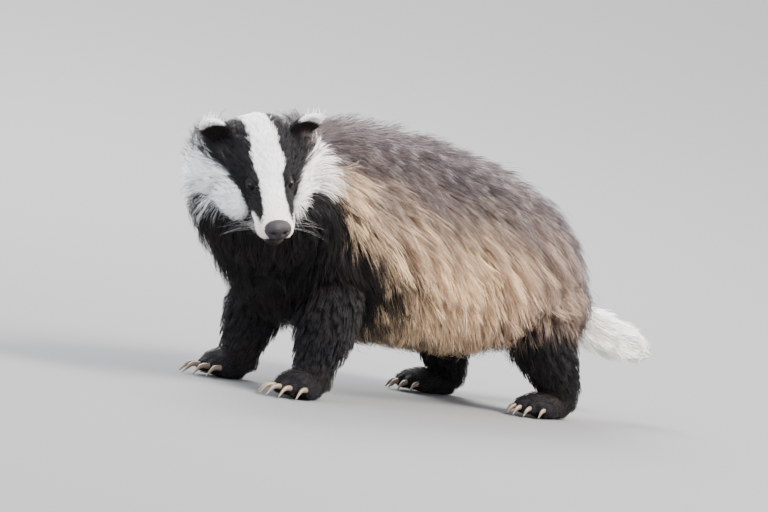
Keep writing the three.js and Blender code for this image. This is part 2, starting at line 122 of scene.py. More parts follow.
class Form:
    """Stations of centre, half width, half height up and half height down, joined by a smooth line."""

    def __init__(self, stations, up_from=(0, 0, 1), up_to=None):
        self.at = np.array([s[0] for s in stations], float)
        self.sizes = np.array([s[1:4] for s in stations], float)
        self.up_from = np.array(up_from, float)
        self.up_to = self.up_from if up_to is None else np.array(up_to, float)
        steps = np.diff(self.line(np.linspace(0, 1, 80)), axis=0)
        self.length = np.linalg.norm(steps, axis=1).sum()

    def line(self, t):
        p, n = self.at, len(self.at) - 1
        place = np.clip(np.asarray(t, float), 0, 1) * n
        i = np.minimum(place.astype(int), n - 1)
        w = (place - i)[:, None]
        more = np.vstack([2 * p[0] - p[1], p, 2 * p[-1] - p[-2]])
        a, b, c, d = (more[i + k] for k in range(4))
        apart = [np.linalg.norm(v, axis=1, keepdims=True) for v in (b - a, c - b, d - c)]
        ab, bc, cd = (np.maximum(np.sqrt(gap), 1e-4) for gap in apart)
        m1 = ((b - a) / ab - (c - a) / (ab + bc) + (c - b) / bc) * bc
        m2 = ((c - b) / bc - (d - b) / (bc + cd) + (d - c) / cd) * bc
        return b + m1 * w + (3 * c - 3 * b - 2 * m1 - m2) * w**2 + (2 * b - 2 * c + m1 + m2) * w**3

    def size(self, t):
        n = len(self.at) - 1
        place = np.clip(np.asarray(t, float), 0, 1) * n
        i = np.minimum(place.astype(int), n - 1)
        f = (place - i)[:, None]
        a, b, c, d = (self.sizes[np.clip(i + k, 0, n)] for k in (-1, 0, 1, 2))
        bend = (2 * a - 5 * b + 4 * c - d) * f**2 + (3 * b - a - 3 * c + d) * f**3
        return np.maximum(b + 0.5 * ((c - a) * f + bend), THINNEST)

    def axes(self, t):
        t = np.clip(np.asarray(t, float), 0, 1)
        along = unit(self.line(t + 1e-3) - self.line(t - 1e-3))
        hint = self.up_from + (self.up_to - self.up_from) * t[:, None]
        side = unit(np.cross(hint, along))
        return self.line(t), along, side, np.cross(along, side)

    def point(self, t, angle, lift=0.0):
        at, _, side, up = self.axes(t)
        size = np.maximum(self.size(t) + np.reshape(lift, (-1, 1)), THINNEST)
        tall = np.where(np.sin(angle) > 0, size[:, 1], size[:, 2])
        return at + side * (np.cos(angle) * size[:, 0])[:, None] + up * (np.sin(angle) * tall)[:, None]

    def shell(self, rings, sides, lift=0.0):
        """A closed skin of quads round the form, pushed out by lift (a number, or a function of t)."""
        t = np.repeat(np.linspace(0, 1, rings + 1), sides)
        angle = np.tile(np.arange(sides) / sides * 2 * np.pi, rings + 1)
        push = lift(t) if callable(lift) else np.full(len(t), float(lift))
        verts = self.point(t, angle, push)
        ends = np.array([0.0, 1.0])
        at, along, _, _ = self.axes(ends)
        push = lift(ends) if callable(lift) else np.full(2, float(lift))
        out = 0.35 * np.maximum(self.size(ends)[:, 0] + push, THINNEST) * np.array([-1, 1])
        verts = np.vstack([verts, at + along * out[:, None]])
        ring = np.arange(sides)
        after = (ring + 1) % sides
        faces = ring_faces(rings, sides)
        first, last = (rings + 1) * sides, rings * sides
        faces += np.stack([np.full(sides, first), after, ring], 1).tolist()
        faces += np.stack([np.full(sides, first + 1), last + ring, last + after], 1).tolist()
        return verts, faces

    def near(self, p):
        """For points: how far along, where round, how far off the surface, and the form's directions."""
        t_all = np.linspace(0, 1, 121)
        spots = self.line(t_all)
        best = np.empty(len(p), int)
        for k in range(0, len(p), BATCH):
            part = p[k : k + BATCH]
            best[k : k + BATCH] = ((part[:, None] - spots[None]) ** 2).sum(2).argmin(1)
        t = t_all[best]
        at, along, side, up = self.axes(t)
        off = p - at
        x, z = (off * side).sum(1), (off * up).sum(1)
        size = self.size(t)
        tall = np.where(z > 0, size[:, 1], size[:, 2])
        round_off = np.hypot(x / size[:, 0], z / tall)
        ends = (t <= 0) | (t >= 1)
        over = np.abs((off * along).sum(1)) * ends
        gap = np.hypot(np.maximum(round_off - 1, 0) * np.minimum(size[:, 0], tall), over)
        gap = gap + np.minimum(round_off - 1, 0) * np.minimum(size[:, 0], tall)
        angle = np.arctan2(z / tall, x / size[:, 0])
        return {"t": t, "angle": angle, "gap": gap, "along": along}


print("forms are at least", 2 * THINNEST, "mm thick")

# %% [markdown]
# ## The head's own frame
# The animal looks to its left and down, with a slight tilt. A head is easier to draw straight, so it gets
# a frame of its own, with x to the nose, y to its left and z out of the crown. One turn then sets every
# point of it on the neck.

# %% The turn of the head
HEAD_AT = np.array([-124.0, -70, 251])
YAW, NOD, TILT = np.radians([64, 30, 13])
nose_way = np.array([-np.cos(YAW) * np.cos(NOD), -np.sin(YAW) * np.cos(NOD), -np.sin(NOD)])
level_way = np.array([np.sin(YAW), -np.cos(YAW), 0])
crown_way = np.cross(nose_way, level_way)
left_way = level_way * np.cos(TILT) + crown_way * np.sin(TILT)
head_up = crown_way * np.cos(TILT) - level_way * np.sin(TILT)
TURN = np.stack([nose_way, left_way, head_up])


def on_head(*p):
    return HEAD_AT + np.asarray(p, float).reshape(-1, 3) @ TURN


def to_head(p):
    return (p - HEAD_AT) @ TURN.T


print("the nose points along", nose_way.round(2))

# %% [markdown]
# ## Trunk, neck and tail
# The trunk runs back from the shoulders and falls away over low haunches. The neck is hardly narrower
# than either end, and the tail hangs out behind. They could be cut from one block, but three forms that
# overlap can each be put right alone.

# %% Trunk, neck and tail
TRUNK_OUTLINE = [
    # x, y, top, bottom, half width: to the tips of the coat
    (-62, -14, 304, 116, 80),
    (0, -2, BACK_HEIGHT - 3, 80, 106),
    (75, 3, BACK_HEIGHT, 68, 118),
    (160, 5, BACK_HEIGHT - 7, 62, 126),
    (250, 5, BACK_HEIGHT - 23, 58, TRUNK_WIDTH / 2),
    (335, 2, BACK_HEIGHT - 50, 58, TRUNK_WIDTH / 2 - 3),
    (396, -2, BACK_HEIGHT - 103, 66, 100),
    (442, -6, BACK_HEIGHT - 155, 84, 70),
    (RUMP_X, -10, BACK_HEIGHT - 196, 102, 36),
]


def upright(x, y, top, low, half):
    tall = (top - low) / 2
    return (x, y, low + tall), half, tall, tall


trunk = Form([upright(*row) for row in TRUNK_OUTLINE])
neck = Form(
    [
        ((40, -2, 206), 104, 106, 104),
        ((-18, -10, 212), 104, 102, 100),
        ((-64, -28, 222), 104, 90, 96),
        ((-98, -50, 234), 100, 72, 90),
        (on_head(-14, 0, -10)[0], 62, 42, 54),
    ],
    up_to=head_up,
)
TAIL_ROOT = np.array([RUMP_X - 34, -12, 124.0])
TAIL_WAY = unit(np.array([0.95, -0.05, -0.24]))
TAIL_OUTLINE = [(0, 20), (35, 28), (80, 31), (125, 28), (TAIL_LENGTH, 10)]
tail = Form([(TAIL_ROOT + TAIL_WAY * far, half, half, half) for far, half in TAIL_OUTLINE])
print("trunk line", round(trunk.length), "neck", round(neck.length), "tail", round(tail.length))

# %% [markdown]
# ## Skull and jaw
# A badger's head is a long wedge, broad over the cheeks and narrow at the snout, with the jaw as a
# flatter wedge below it. One egg with a snout pulled out would do from afar. Two forms leave the line of
# the mouth between them. The ruff of the cheeks is taken off here, because hair puts it back.

# %% Skull and jaw
SKULL_OUTLINE = [
    # forward place, top, bottom, half width, and how much of it is the ruff
    (-84, 28, -50, 64, 16),
    (-62, 44, -68, 91, 32),
    (-36, 50, -72, 94, 34),
    (-10, 47, -62, 74, 20),
    (14, 37, -47, 47, 4),
    (34, 24, -38, 29, 0),
    (52, 14, -33, 25, 0),
    (70, 6, -31, 23, 0),
    (86, -1, -30, 20, 0),
    (93, -6, -27, 14, 0),
]
JAW_OUTLINE = [
    (-30, -30, -60, 44),
    (4, -30, -56, 32),
    (34, -31, -49, 22),
    (60, -32, -45, 17),
    (78, -33, -42, 12),
    (84, -34, -39, 7),
]


def head_form(rows):
    stations = []
    for x, top, low, half in rows:
        tall = (top - low) / 2
        stations.append((on_head(x, 0, (top + low) / 2)[0], half, tall, tall))
    return Form(stations, up_from=head_up)


skull = head_form([(x, top, low, half - ruff) for x, top, low, half, ruff in SKULL_OUTLINE])
jaw = head_form(JAW_OUTLINE)
print("skull line", round(skull.length), "jaw line", round(jaw.length))

# %% [markdown]
# ## Legs and paws
# The legs are short posts, and the paws are broad, with five toes and a claw on each. One leg could be
# made and copied, but the four stand differently. So each has its row in a table, and the same few
# functions draw them all.

# %% Legs and paws
LEGS = {
    # kind, side, then top, joint, wrist and toes
    "foreleg_left": ("fore", -1, (22, -60, 128), (8, -72, 78), (-4, -76, 36), (-44, -80, 16)),
    "foreleg_right": ("fore", 1, (34, 60, 128), (28, 72, 78), (20, 76, 36), (-18, 82, 16)),
    "hindleg_left": ("hind", -1, (360, -58, 132), (372, -78, 80), (402, -84, 32), (344, -90, 15)),
    "hindleg_right": ("hind", 1, (344, 58, 132), (350, 76, 80), (376, 82, 32), (318, 90, 15)),
}
LEG_HALF = {"fore": (34, 35, 27), "hind": (44, 38, 26)}  # at the top, the joint and the wrist
PAW_HALF = {"fore": 25, "hind": 23}
PAW_TALL = {"fore": 17, "hind": 15}  # half the height
TOE_HALF = {"fore": 7.0, "hind": 6.2}
TOE_FAN = (-1, -0.55, 0, 0.55, 1)  # each toe's place across the paw
CLAW_LENGTH = {"fore": 23, "hind": 13}
CLAW_HEIGHT = {"fore": (12.5, 12, 2.2), "hind": (12.5, 9.5, 2.2)}  # root, bend and point over the floor


def leg_form(leg):
    kind, _, top, joint, wrist, _ = leg
    upper, middle, end = LEG_HALF[kind]
    foot = (wrist[0], wrist[1], 14)
    stations = [(at, half, half, half) for at, half in ((top, upper), (joint, middle), (wrist, end))]
    return Form([*stations, (foot, end - 2, end, end)], up_from=(-1, 0, 0))


def paw_form(leg):
    kind, _, _, _, wrist, toes = leg
    half, tall = PAW_HALF[kind], PAW_TALL[kind]
    heel, toes = np.array([wrist[0], wrist[1], tall], float), np.array(toes, float)
    stations = [(-0.1, 0.74, 1.1), (0.55, 1, 1.1), (1, 0.92, 0.82)]
    return Form([(heel + (toes - heel) * f, half * w, tall * h, tall * h) for f, w, h in stations])


def toe_tips(leg):
    """Where each of the five toes ends, and which way it points."""
    kind, side, _, _, wrist, toes = leg
    way = np.array([toes[0] - wrist[0], toes[1] - wrist[1], 0.0])
    way = way / np.linalg.norm(way)
    across = np.array([-way[1], way[0], 0]) * side
    tips = []
    for k in TOE_FAN:
        back = 15 * k * k + (6 if k == -1 else 0)
        tip = np.array(toes, float) + across * k * 0.86 * PAW_HALF[kind] + way * (14 - back)
        tip[2] = 11
        tips.append((tip, unit(way + across * k * 0.22)))
    return tips


def toe_form(tip, way, half):
    start = tip - way * 24
    start[2] = 15
    knuckle = start + (tip - start) * 0.6
    return Form([(start, half * 0.8, 9, 9), (knuckle, half, 10, 10), (tip, half * 0.72, 7, 7)])


def claw_form(tip, way, kind):
    length = CLAW_LENGTH[kind]
    root, bend, point = tip - way * 4, tip + way * length * 0.5, tip + way * length
    root[2], bend[2], point[2] = CLAW_HEIGHT[kind]
    return Form([(root, 2.6, 3.4, 3.4), (bend, 2.1, 2.7, 2.7), (point, 0.7, 0.8, 0.8)])


leg_forms = {name: leg_form(leg) for name, leg in LEGS.items()}
paw_forms = {name: paw_form(leg) for name, leg in LEGS.items()}
print("lengths of the legs", {name: round(form.length) for name, form in leg_forms.items()})

# %% [markdown]
# ## From the animal's frame to the floor
# The left eye is a ball whose middle is known in both frames, so the step between them is one
# subtraction.

# %% The step to metres
EYE = (35, 21.5, 9)
EYE_CENTRE = {side: on_head(EYE[0], side * EYE[1], EYE[2])[0] for side in (1, -1)}
low, high = (np.array(c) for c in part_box("eye_left"))
SHIFT = (low + high) / 2 - EYE_CENTRE[1] * 0.001
print("shift in metres", SHIFT.round(4))

# %% [markdown]
# ## Two helpers
# Every piece becomes a mesh in one way: points in millimetres, faces as lists of their numbers, and the
# shift. Swellings, ears, eyes and nose start as a ball. Blender can add one by itself, but a ball of our
# own hands over its points, to be squashed and pushed before they are a mesh.

# %% Meshes and balls
def new_mesh(name, verts, faces, smooth=True):
    """A mesh object from points in millimetres."""
    mesh = bpy.data.meshes.new(name)
    mesh.from_pydata((np.asarray(verts) * 0.001 + SHIFT).tolist(), [], faces)
    mesh.polygons.foreach_set("use_smooth", [smooth] * len(mesh.polygons))
    obj = bpy.data.objects.new(name, mesh)
    bpy.context.scene.collection.objects.link(obj)
    return obj


def ball(sides=20, rings=12):
    """A ball of radius 1 round the origin."""
    verts, faces = [(0, 0, 1.0)], []
    for r in range(1, rings):
        v = np.pi * r / rings
        round_angles = np.arange(sides) / sides * 2 * np.pi
        verts += [(np.sin(v) * np.cos(a), np.sin(v) * np.sin(a), np.cos(v)) for a in round_angles]
    verts.append((0, 0, -1.0))
    last = len(verts) - 1
    for s in range(sides):
        n = (s + 1) % sides
        faces.append([0, 1 + s, 1 + n])
        for r in range(rings - 2):
            a = 1 + r * sides
            faces.append([a + s, a + sides + s, a + sides + n, a + n])
        a = 1 + (rings - 2) * sides
        faces.append([a + s, last, a + n])
    return np.array(verts), faces


def head_ball(centre, radii):
    verts, faces = ball()
    return on_head(verts * np.array(radii) + np.array(centre)), faces


print("points on a ball:", len(ball()[0]))

# %% [markdown]
# ## Ears
# A badger's ear is a low round cup. A ball squashed flat is the back of it, and its front half turned
# inside towards the back makes the hollow, with a thick soft rim left between them.

# %% Ear cups
EAR = {"at": (-34, 52, 37), "half": (9.5, 19, 22)}


def turn(x, y, z):
    cx, sx, cy, sy, cz, sz = np.cos(x), np.sin(x), np.cos(y), np.sin(y), np.cos(z), np.sin(z)
    about_x = np.array([[1, 0, 0], [0, cx, -sx], [0, sx, cx]])
    about_y = np.array([[cy, 0, sy], [0, 1, 0], [-sy, 0, cy]])
    about_z = np.array([[cz, -sz, 0], [sz, cz, 0], [0, 0, 1]])
    return about_x @ about_y @ about_z


EAR_SPIN = {side: turn(*np.radians([side * -32, 14, side * 24])) for side in (1, -1)}
EAR_CENTRE = {side: np.array(EAR["at"]) * np.array([1, side, 1]) for side in (1, -1)}


def ear_place(local, side):
    return on_head(local @ EAR_SPIN[side].T + EAR_CENTRE[side])


def to_ear(head):
    """Points of the head's frame in the frame of the nearer ear: x out of the cup, z up to its top."""
    near = {side: (head - EAR_CENTRE[side]) @ EAR_SPIN[side] for side in (1, -1)}
    return np.where(head[:, 1:2] > 0, near[1], near[-1])


def ear_cup(side):
    verts, faces = ball(36, 24)
    front = verts[:, 0] > 0
    cupped = verts * np.array(EAR["half"])
    hollow = verts[:, 0] * np.clip((verts[:, 2] + 0.75) * 3, 0, 1)
    inner = EAR["half"][0] * (0.25 * np.sin(np.pi * verts[:, 0]) - 0.42 * hollow)
    cupped[:, 0] = np.where(front, inner, cupped[:, 0])
    return ear_place(cupped * 0.96, side), faces


print("ear", 2 * EAR["half"][1], "mm wide")

# %% [markdown]
# ## One skin
# All forms run into each other with soft seams. They are set down as closed shells that overlap, then
# wrapped in one even net, and the net is eased. The brow, cheeks, lips and chin are small swellings added
# to the skull.

# %% The shells
def neck_lift(t):
    return -SKIN_DEPTH + 6 * smoothstep(0.8, 1, t)


def head_lift(t):
    return -6.5 + 5 * smoothstep(0.25, 0.75, t)


def tail_lift(t):
    return -17 + 8 * smoothstep(0.6, 1, t)


shells = [
    trunk.shell(60, 48, -SKIN_DEPTH),
    neck.shell(40, 48, neck_lift),
    skull.shell(50, 48, head_lift),
    jaw.shell(24, 24, -2.0),
    tail.shell(24, 20, tail_lift),
    ear_cup(1),
    ear_cup(-1),
    head_ball((66, 0, -39), (16, 10, 5.5)),  # chin
]
for side in (1, -1):
    shells += [
        head_ball((28, side * 18, 15), (15, 7, 6)),  # brow
        head_ball((70, side * 11, -24), (19, 9.5, 8.5)),  # lip
        head_ball((4, side * 32, -20), (38, 16, 24)),  # cheek
    ]
for name, leg in LEGS.items():
    shells += [leg_forms[name].shell(20, 24, -5), paw_forms[name].shell(14, 24, -1.5)]
    for tip, way in toe_tips(leg):
        shells.append(toe_form(tip, way, TOE_HALF[leg[0]]).shell(10, 14, -0.6))
print("shells:", len(shells))

# %% [markdown]
# The wrap is Blender's remesh in voxels: it keeps only the outside of all shells together. Joining them
# by cutting would keep every seam sharp, and a net drawn by hand would take days. A light smoothing then
# takes the steps out of it.

# %% The wrap
NET_STEP = 0.0022  # metres
verts, faces = [], []
for shell_verts, shell_faces in shells:
    start = sum(len(v) for v in verts)
    verts.append(shell_verts)
    faces += [[i + start for i in face] for face in shell_faces]
rough = new_mesh("rough", np.vstack(verts), faces)
wrap = rough.modifiers.new("wrap", "REMESH")
wrap.mode, wrap.voxel_size = "VOXEL", NET_STEP
ease = rough.modifiers.new("ease", "SMOOTH")
ease.factor, ease.iterations = 0.5, 5
bpy.context.view_layer.update()
wrapped = bpy.data.meshes.new_from_object(rough.evaluated_get(bpy.context.evaluated_depsgraph_get()))
bpy.data.objects.remove(rough)


def read_points(mesh):
    flat = np.empty(len(mesh.vertices) * 3, np.float32)
    mesh.vertices.foreach_get("co", flat)
    return flat.reshape(-1, 3).astype(float)


skin_points = (read_points(wrapped) - SHIFT) * 1000
print("points in the net:", len(skin_points))

# %% [markdown]
# The soles rest on the floor, so the net is pressed flat there. Round each eye the net is pushed in to a
# pit, which the ball and the lids then fill. Cutting a hole would do as well, but it leaves an open edge.

# %% Soles and eye pits
SOLE_GAP = 0.15  # the skin ends this far over the floor
skin_points[:, 2] = np.maximum(skin_points[:, 2], SOLE_GAP)
GAZE = {side: unit(np.array([0.5, side * 0.82, 0.3])) for side in (1, -1)}
PIT = 2  # how far behind the ball's middle the net is pushed
for side in (1, -1):
    out = GAZE[side] @ TURN
    off = skin_points - EYE_CENTRE[side]
    near_eye = 1 - smoothstep(6.5, 9.5, np.linalg.norm(off, axis=1))
    depth = off @ out + PIT
    skin_points -= out * (near_eye * np.maximum(depth, 0))[:, None]
skin = bpy.data.objects.new("skin", wrapped)
bpy.context.scene.collection.objects.link(skin)
wrapped.name = "skin"
wrapped.vertices.foreach_set("co", (skin_points * 0.001 + SHIFT).astype(np.float32).ravel())
wrapped.polygons.foreach_set("use_smooth", [True] * len(wrapped.polygons))
wrapped.update()
tree = BVHTree.FromPolygons(skin_points.tolist(), [tuple(p.vertices) for p in wrapped.polygons])


def onto_skin(p):
    """The nearest spots on the skin, and the way out of it at each."""
    hits = [tree.find_nearest(q) for q in p]
    return np.array([hit[0] for hit in hits]), np.array([hit[1] for hit in hits])


print("skin net:", len(wrapped.polygons), "faces")

# %% [markdown]
# ## What each point is part of
# Skin and hair share one set of questions: which form is nearest, how far along it, and where round it.
# From that come the place on the unwrapped skin, the colour and the lie. Painting by hand would need each
# of them anew, and this way hair and skin always agree.

# %% Asking the forms
FORMS = {"trunk": trunk, "neck": neck, "head": skull, "tail": tail}
for name in LEGS:
    FORMS[name] = leg_forms[name]
    FORMS[name + "_paw"] = paw_forms[name]
NAMES = list(FORMS)
FIRST_LIMB = NAMES.index("foreleg_left")  # the forms from here on are legs and paws
INSET = {"trunk": SKIN_DEPTH, "neck": SKIN_DEPTH, "head": 5, "tail": 15}  # how deep the skin lies in each
LIMB_INSET = 3
BLEND = 9  # one form's share gives way to the next over some such distances


def survey(p):
    """For points: the nearest form, its measures there, and the share that each form has in the spot."""
    answers = [form.near(p) for form in FORMS.values()]
    gaps = np.stack([a["gap"] + INSET.get(n, LIMB_INSET) for n, a in zip(NAMES, answers)])
    part = gaps.argmin(0)
    share = np.exp(-(gaps - gaps.min(0)) / BLEND)
    share /= share.sum(0)
    t, angle = (np.stack([a[key] for a in answers])[part, np.arange(len(p))] for key in ("t", "angle"))
    head = to_head(p)
    ear = to_ear(head)
    off_ear = np.linalg.norm(ear / (np.array(EAR["half"]) + 1.5), axis=1)
    on_ear = (1 - smoothstep(1.0, 1.25, off_ear)) * smoothstep(-16, -8, ear[:, 2])
    found = {"part": part, "t": t, "angle": angle, "share": share, "answers": answers}
    return {**found, "head": head, "ear": ear, "on_ear": on_ear}


def wave(p, scale, seed):
    """Soft noise between 0 and 1: a few crossed ripples of about this many millimetres."""
    dice = np.random.default_rng(seed)
    total = np.zeros(len(p))
    for _ in range(7):
        way = unit(dice.normal(size=3))
        total += np.sin((p @ way) * 2 * np.pi / (scale * dice.uniform(0.7, 1.5)) + dice.uniform(0, 6.3))
    return 0.5 + 0.5 * np.clip(total / 3.2, -1, 1)


print("forms to ask:", len(FORMS))

# %% [markdown]
# ## Markings
# On the body each hair is pale at the root, dark in a broad band and pale at the tip, which makes the
# grey: the back shows more of the band, the flanks more of the cream. A picture wrapped round the body
# could carry this, but functions of place say it in a few lines and serve skin and hair alike. They give
# four colours along a hair, and the skin takes the first two mixed.

# %% Pigments
WHITE = np.array([0.88, 0.87, 0.86])
WARM = np.array([0.93, 0.79, 0.66])
BLACK = np.array([0.006, 0.005, 0.006])
SOOT = np.array([0.015, 0.010, 0.009])
UMBER = np.array([0.105, 0.062, 0.046])
# the flank's cream, and PALE_TIP below, are the coat's own pale colour painted paler and warmer, as in warm
# sunlight: painted warm light
CREAM = np.array([0.98, 0.70, 0.44])
TAWNY = np.array([0.38, 0.22, 0.135])
ROSE_GREY = np.array([0.80, 0.585, 0.475])
GREY = np.array([0.34, 0.27, 0.275])
SABLE = np.array([0.022, 0.014, 0.017])
SILVER = np.array([0.86, 0.785, 0.825])
PALE_TIP = np.array([1.0, 0.78, 0.53])
TAIL_PALE = np.array([0.95, 0.92, 0.87])


def mix(a, b, f):
    f = np.reshape(f, (-1, 1))
    return a * (1 - f) + b * f


def repaint(tones, shade, f):
    """All tones along the hair drawn towards one shade."""
    return np.stack([mix(tone, shade, f) for tone in tones])


def read_off(table, x):
    """The value at x of a table of pairs, on straight lines from pair to pair."""
    places, values = zip(*table)
    return np.interp(x, places, values)


print("black reflects", BLACK.mean().round(4), "and white", WHITE.mean().round(2))

# %% [markdown]
# ### Black of the face
# The face is white, with a black stripe from beside the nose through each eye and ear. A stripe has an
# inner edge beside the white band of the brow, and an outer edge against the cheek. Both are tables of
# half widths, read off along the face. Throat and chin are black too. A thin line of painted shade parts
# the lips, and under the nose pad the dark lip takes painted shade from the pad.

# %% Stripes, throat and lips
BAND_MIDDLE = [(-84, -8), (-57, -7), (-40, -4.5), (-20, -1.6), (10, 0)]  # forward place, then y
BAND_HALF = [
    # forward place, half width of the white band
    (-84, 15),
    (-57, 15),
    (-40, 14),
    (-20, 14),
    (0, 14.5),
    (20, 17),
    (33, 14.4),
    (46, 12.6),
    (61, 12),
    (75, 13.3),
    (88, 16),
]
STRIPE_REACH = [
    # place down the face, half width to the stripe's outer edge
    (-38, 110),
    (-32, 66),
    (-25, 56),
    (-17, 48),
    (-8, 41),
    (3, 36.5),
    (12, 33.5),
    (22, 30.5),
    (32, 26),
    (39, 22.5),
    (48, 18),
]
THROAT_TOP = [(-84, -52), (-40, -50), (-18, -46), (0, -38), (10, -35), (40, -36), (70, -37), (90, -31)]


def face_black(head, p):
    """1 on the black stripes, chin, throat, dark lip and painted shade by the mouth and nose, 0 on white.
    """
    x, y, z = head.T
    wide = np.abs(y)
    fray = (wave(p, 14, 3) - 0.5) * 3
    down = 0.5 * x - 0.85 * z  # along the face as seen from its front
    off_band = np.abs(y - read_off(BAND_MIDDLE, x)) - read_off(BAND_HALF, x)
    inner = smoothstep(-1.2, 1.2, off_band + fray * 0.3)
    outer = smoothstep(-1.5, 1.5, read_off(STRIPE_REACH, down) - wide + fray * 0.6)
    stripe = inner * outer * (1 - smoothstep(48, 54, down))
    throat = 1 - smoothstep(-4, 4, z - read_off(THROAT_TOP, x) + fray)
    chin = (1 - smoothstep(8, 13, wide)) * (1 - smoothstep(-32, -28, z)) * smoothstep(30, 50, x)
    # painted shade along the line between the lips
    mouth = np.exp(-(((z + 33) / 1.6) ** 2)) * smoothstep(20, 34, x)
    # dark lip skin under the nose pad, with painted shade from the pad over it
    lip_and_shade_under_nose = smoothstep(82, 88, x) * (1 - smoothstep(-22, -19, z)) * (1 - smoothstep(8, 12, wide))
    return np.maximum.reduce([stripe, throat, chin * 0.92, mouth * 0.8, lip_and_shade_under_nose * 0.9])


print("white band", 2 * min(half for _, half in BAND_HALF), "mm wide where it is narrowest")

# %% [markdown]
# ### Grey back, pale flank
# The back is grey with silver tips, the flank peach, the rump a rosy grey, and each runs softly into the
# next. The flank's peach is partly painted warm light: its cream is paler and warmer than the coat's own,
# as where warm sun falls on it. The measure is the depth under the line of the back. Here and there a
# whole lock is dark, which gives the flecks.

# %% Body tones
BACK_DEPTH = 22  # the grey is full down to here, under the line of the back
BACK_FADE = [(-60, 34), (-20, 70), (40, 122)]  # place along the body, then depth in which the grey runs out
TOP_LINE = [(row[0], row[2]) for row in TRUNK_OUTLINE]
BELLY_LINE = [(row[0], row[3]) for row in TRUNK_OUTLINE]


def behind_ears(where, head_and_neck, ripple):
    """1 on the sides of the neck behind the ears, which are dark like the back."""
    head = where["head"]
    behind = smoothstep(17, 26, head[:, 2] - head[:, 0] + 6 * (ripple - 0.5))
    return behind * smoothstep(40, 48, np.abs(head[:, 1])) * smoothstep(0.3, 0.7, head_and_neck)


def body_tones(p, streak, speck, nape):
    x, _, z = p.T
    depth = read_off(TOP_LINE, x) - z + 30 * (speck - 0.5)
    back = 1 - smoothstep(0, 1, (depth - BACK_DEPTH) / read_off(BACK_FADE, x))
    back = np.maximum(back, nape)
    rear = smoothstep(210, 350, x)
    # on the flank, root and tip take the cream that is partly painted warm light
    root = mix(mix(CREAM, GREY, back), ROSE_GREY, rear * (1 - back) * 0.75)
    band = mix(TAWNY, SABLE, np.clip(0.25 + back, 0, 1))
    tip = mix(mix(PALE_TIP, SILVER, back), ROSE_GREY * 1.15, rear * (1 - back) * 0.6)
    dark = streak * (0.2 + 0.42 * back) + 0.44 * back * (1 - 0.5 * rear) + 0.6 * nape
    dark = np.clip(dark, 0, 1)
    low_tone = mix(root, band, 0.05 + 0.6 * dark)
    high_tone = mix(mix(root, band, 0.15 + 0.75 * back), band, dark)
    return np.stack([root, low_tone, high_tone, mix(tip, band, np.clip(dark * 1.25 - 0.3, 0, 0.88))])


print("grey runs out", BACK_DEPTH + BACK_FADE[-1][1], "mm under the back")

# %% [markdown]
# ### Partings
# Where the animal bends, its coat opens in long partings that run down over the back and flank. The hairs
# do not part here: the shade down in each parting is painted into their colour. The partings are a wave
# over the body, bent by soft noise, so that no two are alike. The hairs are darkened by this painted shade
# once they lie.

# %% Partings of the coat
FOLD_STEP = 34  # from one parting to the next
FOLD_SLOPE = 0.85  # how far a parting slants back for each step down
FOLD_SHADE = np.array([0.66, 0.70, 0.69])  # how much of each colour is lost in the middle of a parting


def parting_shade(p):
    """The painted shade of the partings, 1 in the middle of each."""
    x, _, z = p.T
    bent = 2 * np.pi * (x + FOLD_SLOPE * z) / FOLD_STEP + 2.4 * wave(p, 90, 21)
    on_body = smoothstep(130, 190, z + 0.3 * x) * smoothstep(-30, 20, x)
    strength = on_body * (0.35 + 0.65 * wave(p, 70, 22))
    return smoothstep(0.35, 0.95, 0.5 + 0.5 * np.sin(bent)) * strength


print("partings on the trunk:", round(RUMP_X / FOLD_STEP))

# %% [markdown]
# ### Black of the chest and legs
# Chest, belly and legs are black. On the shoulder the black ends along a line that leans back as it goes
# down. Its edge is brown and drawn out in streaks, and the thigh is brown where it comes out from under
# the flank.

# %% Chest, belly and legs
CHEST_EDGE = [
    # height, then how far back the black reaches
    (90, 98),
    (134, 86),
    (148, 80),
    (170, 70),
    (186, 52),
    (197, 24),
    (218, -24),
    (230, -40),
    (239, -55),
    (250, -80),
    (262, -108),
]


def blacken(tones, p, names, streak, speck, ripple):
    x, _, z = p.T
    edge = x - read_off(CHEST_EDGE, z) + 16 * (ripple - 0.5) + 26 * (0.45 - streak)
    chest = 1 - smoothstep(-14, 16, edge)
    brown = (1 - smoothstep(6, 66, edge)) * 0.8 * (0.3 + 0.7 * streak)
    top, belly = read_off(TOP_LINE, x), read_off(BELLY_LINE, x)
    high = np.clip((z - belly) / (top - belly), 0, 1)
    under = 1 - smoothstep(0.07, 0.2, high + 0.1 * (speck - 0.5))
    haunch = (1 - smoothstep(84, 118, z + 18 * (ripple - 0.5))) * smoothstep(285, 335, x)
    thigh = (1 - smoothstep(136, 184, z + 22 * (ripple - 0.5))) * smoothstep(265, 330, x)
    thigh = thigh * (0.6 + 0.4 * streak)
    legs = np.char.find(names, "leg") >= 0
    legs = legs * (1 - 0.85 * smoothstep(98, 132, z + 16 * (ripple - 0.5)) * (x > 250))
    black = np.clip(np.maximum.reduce([chest, under * 0.9, haunch * 0.9, legs]), 0, 1)
    soot = mix(BLACK, SOOT, smoothstep(0.3, 0.8, speck) * 0.5)
    return repaint(repaint(tones, UMBER, np.maximum(brown, thigh)), soot, black)


print("chest edge leans back", CHEST_EDGE[0][1] - CHEST_EDGE[-1][1], "mm on its way down")

# %% [markdown]
# ### Tail, cheeks and ears
# The tail is white. The white cheek runs on over the side of the neck, so it is an oval there. The ears
# are black cups with a white edge, which shows from far off. The last function puts all markings on, one
# over the other.

# %% Colours by place
TAIL_SHADES = (0.85, 0.95, 1.0, 1.05)
CHEEK_AT, CHEEK_HALF = np.array([-8, 50, -13]), np.array([27, 18, 21])


def whiten_tail(tones, names, where):
    pale = np.where(names == "tail", smoothstep(0, 40, where["t"] * tail.length), 0)
    return np.stack([mix(tone, TAIL_PALE * shade, pale) for tone, shade in zip(tones, TAIL_SHADES)])


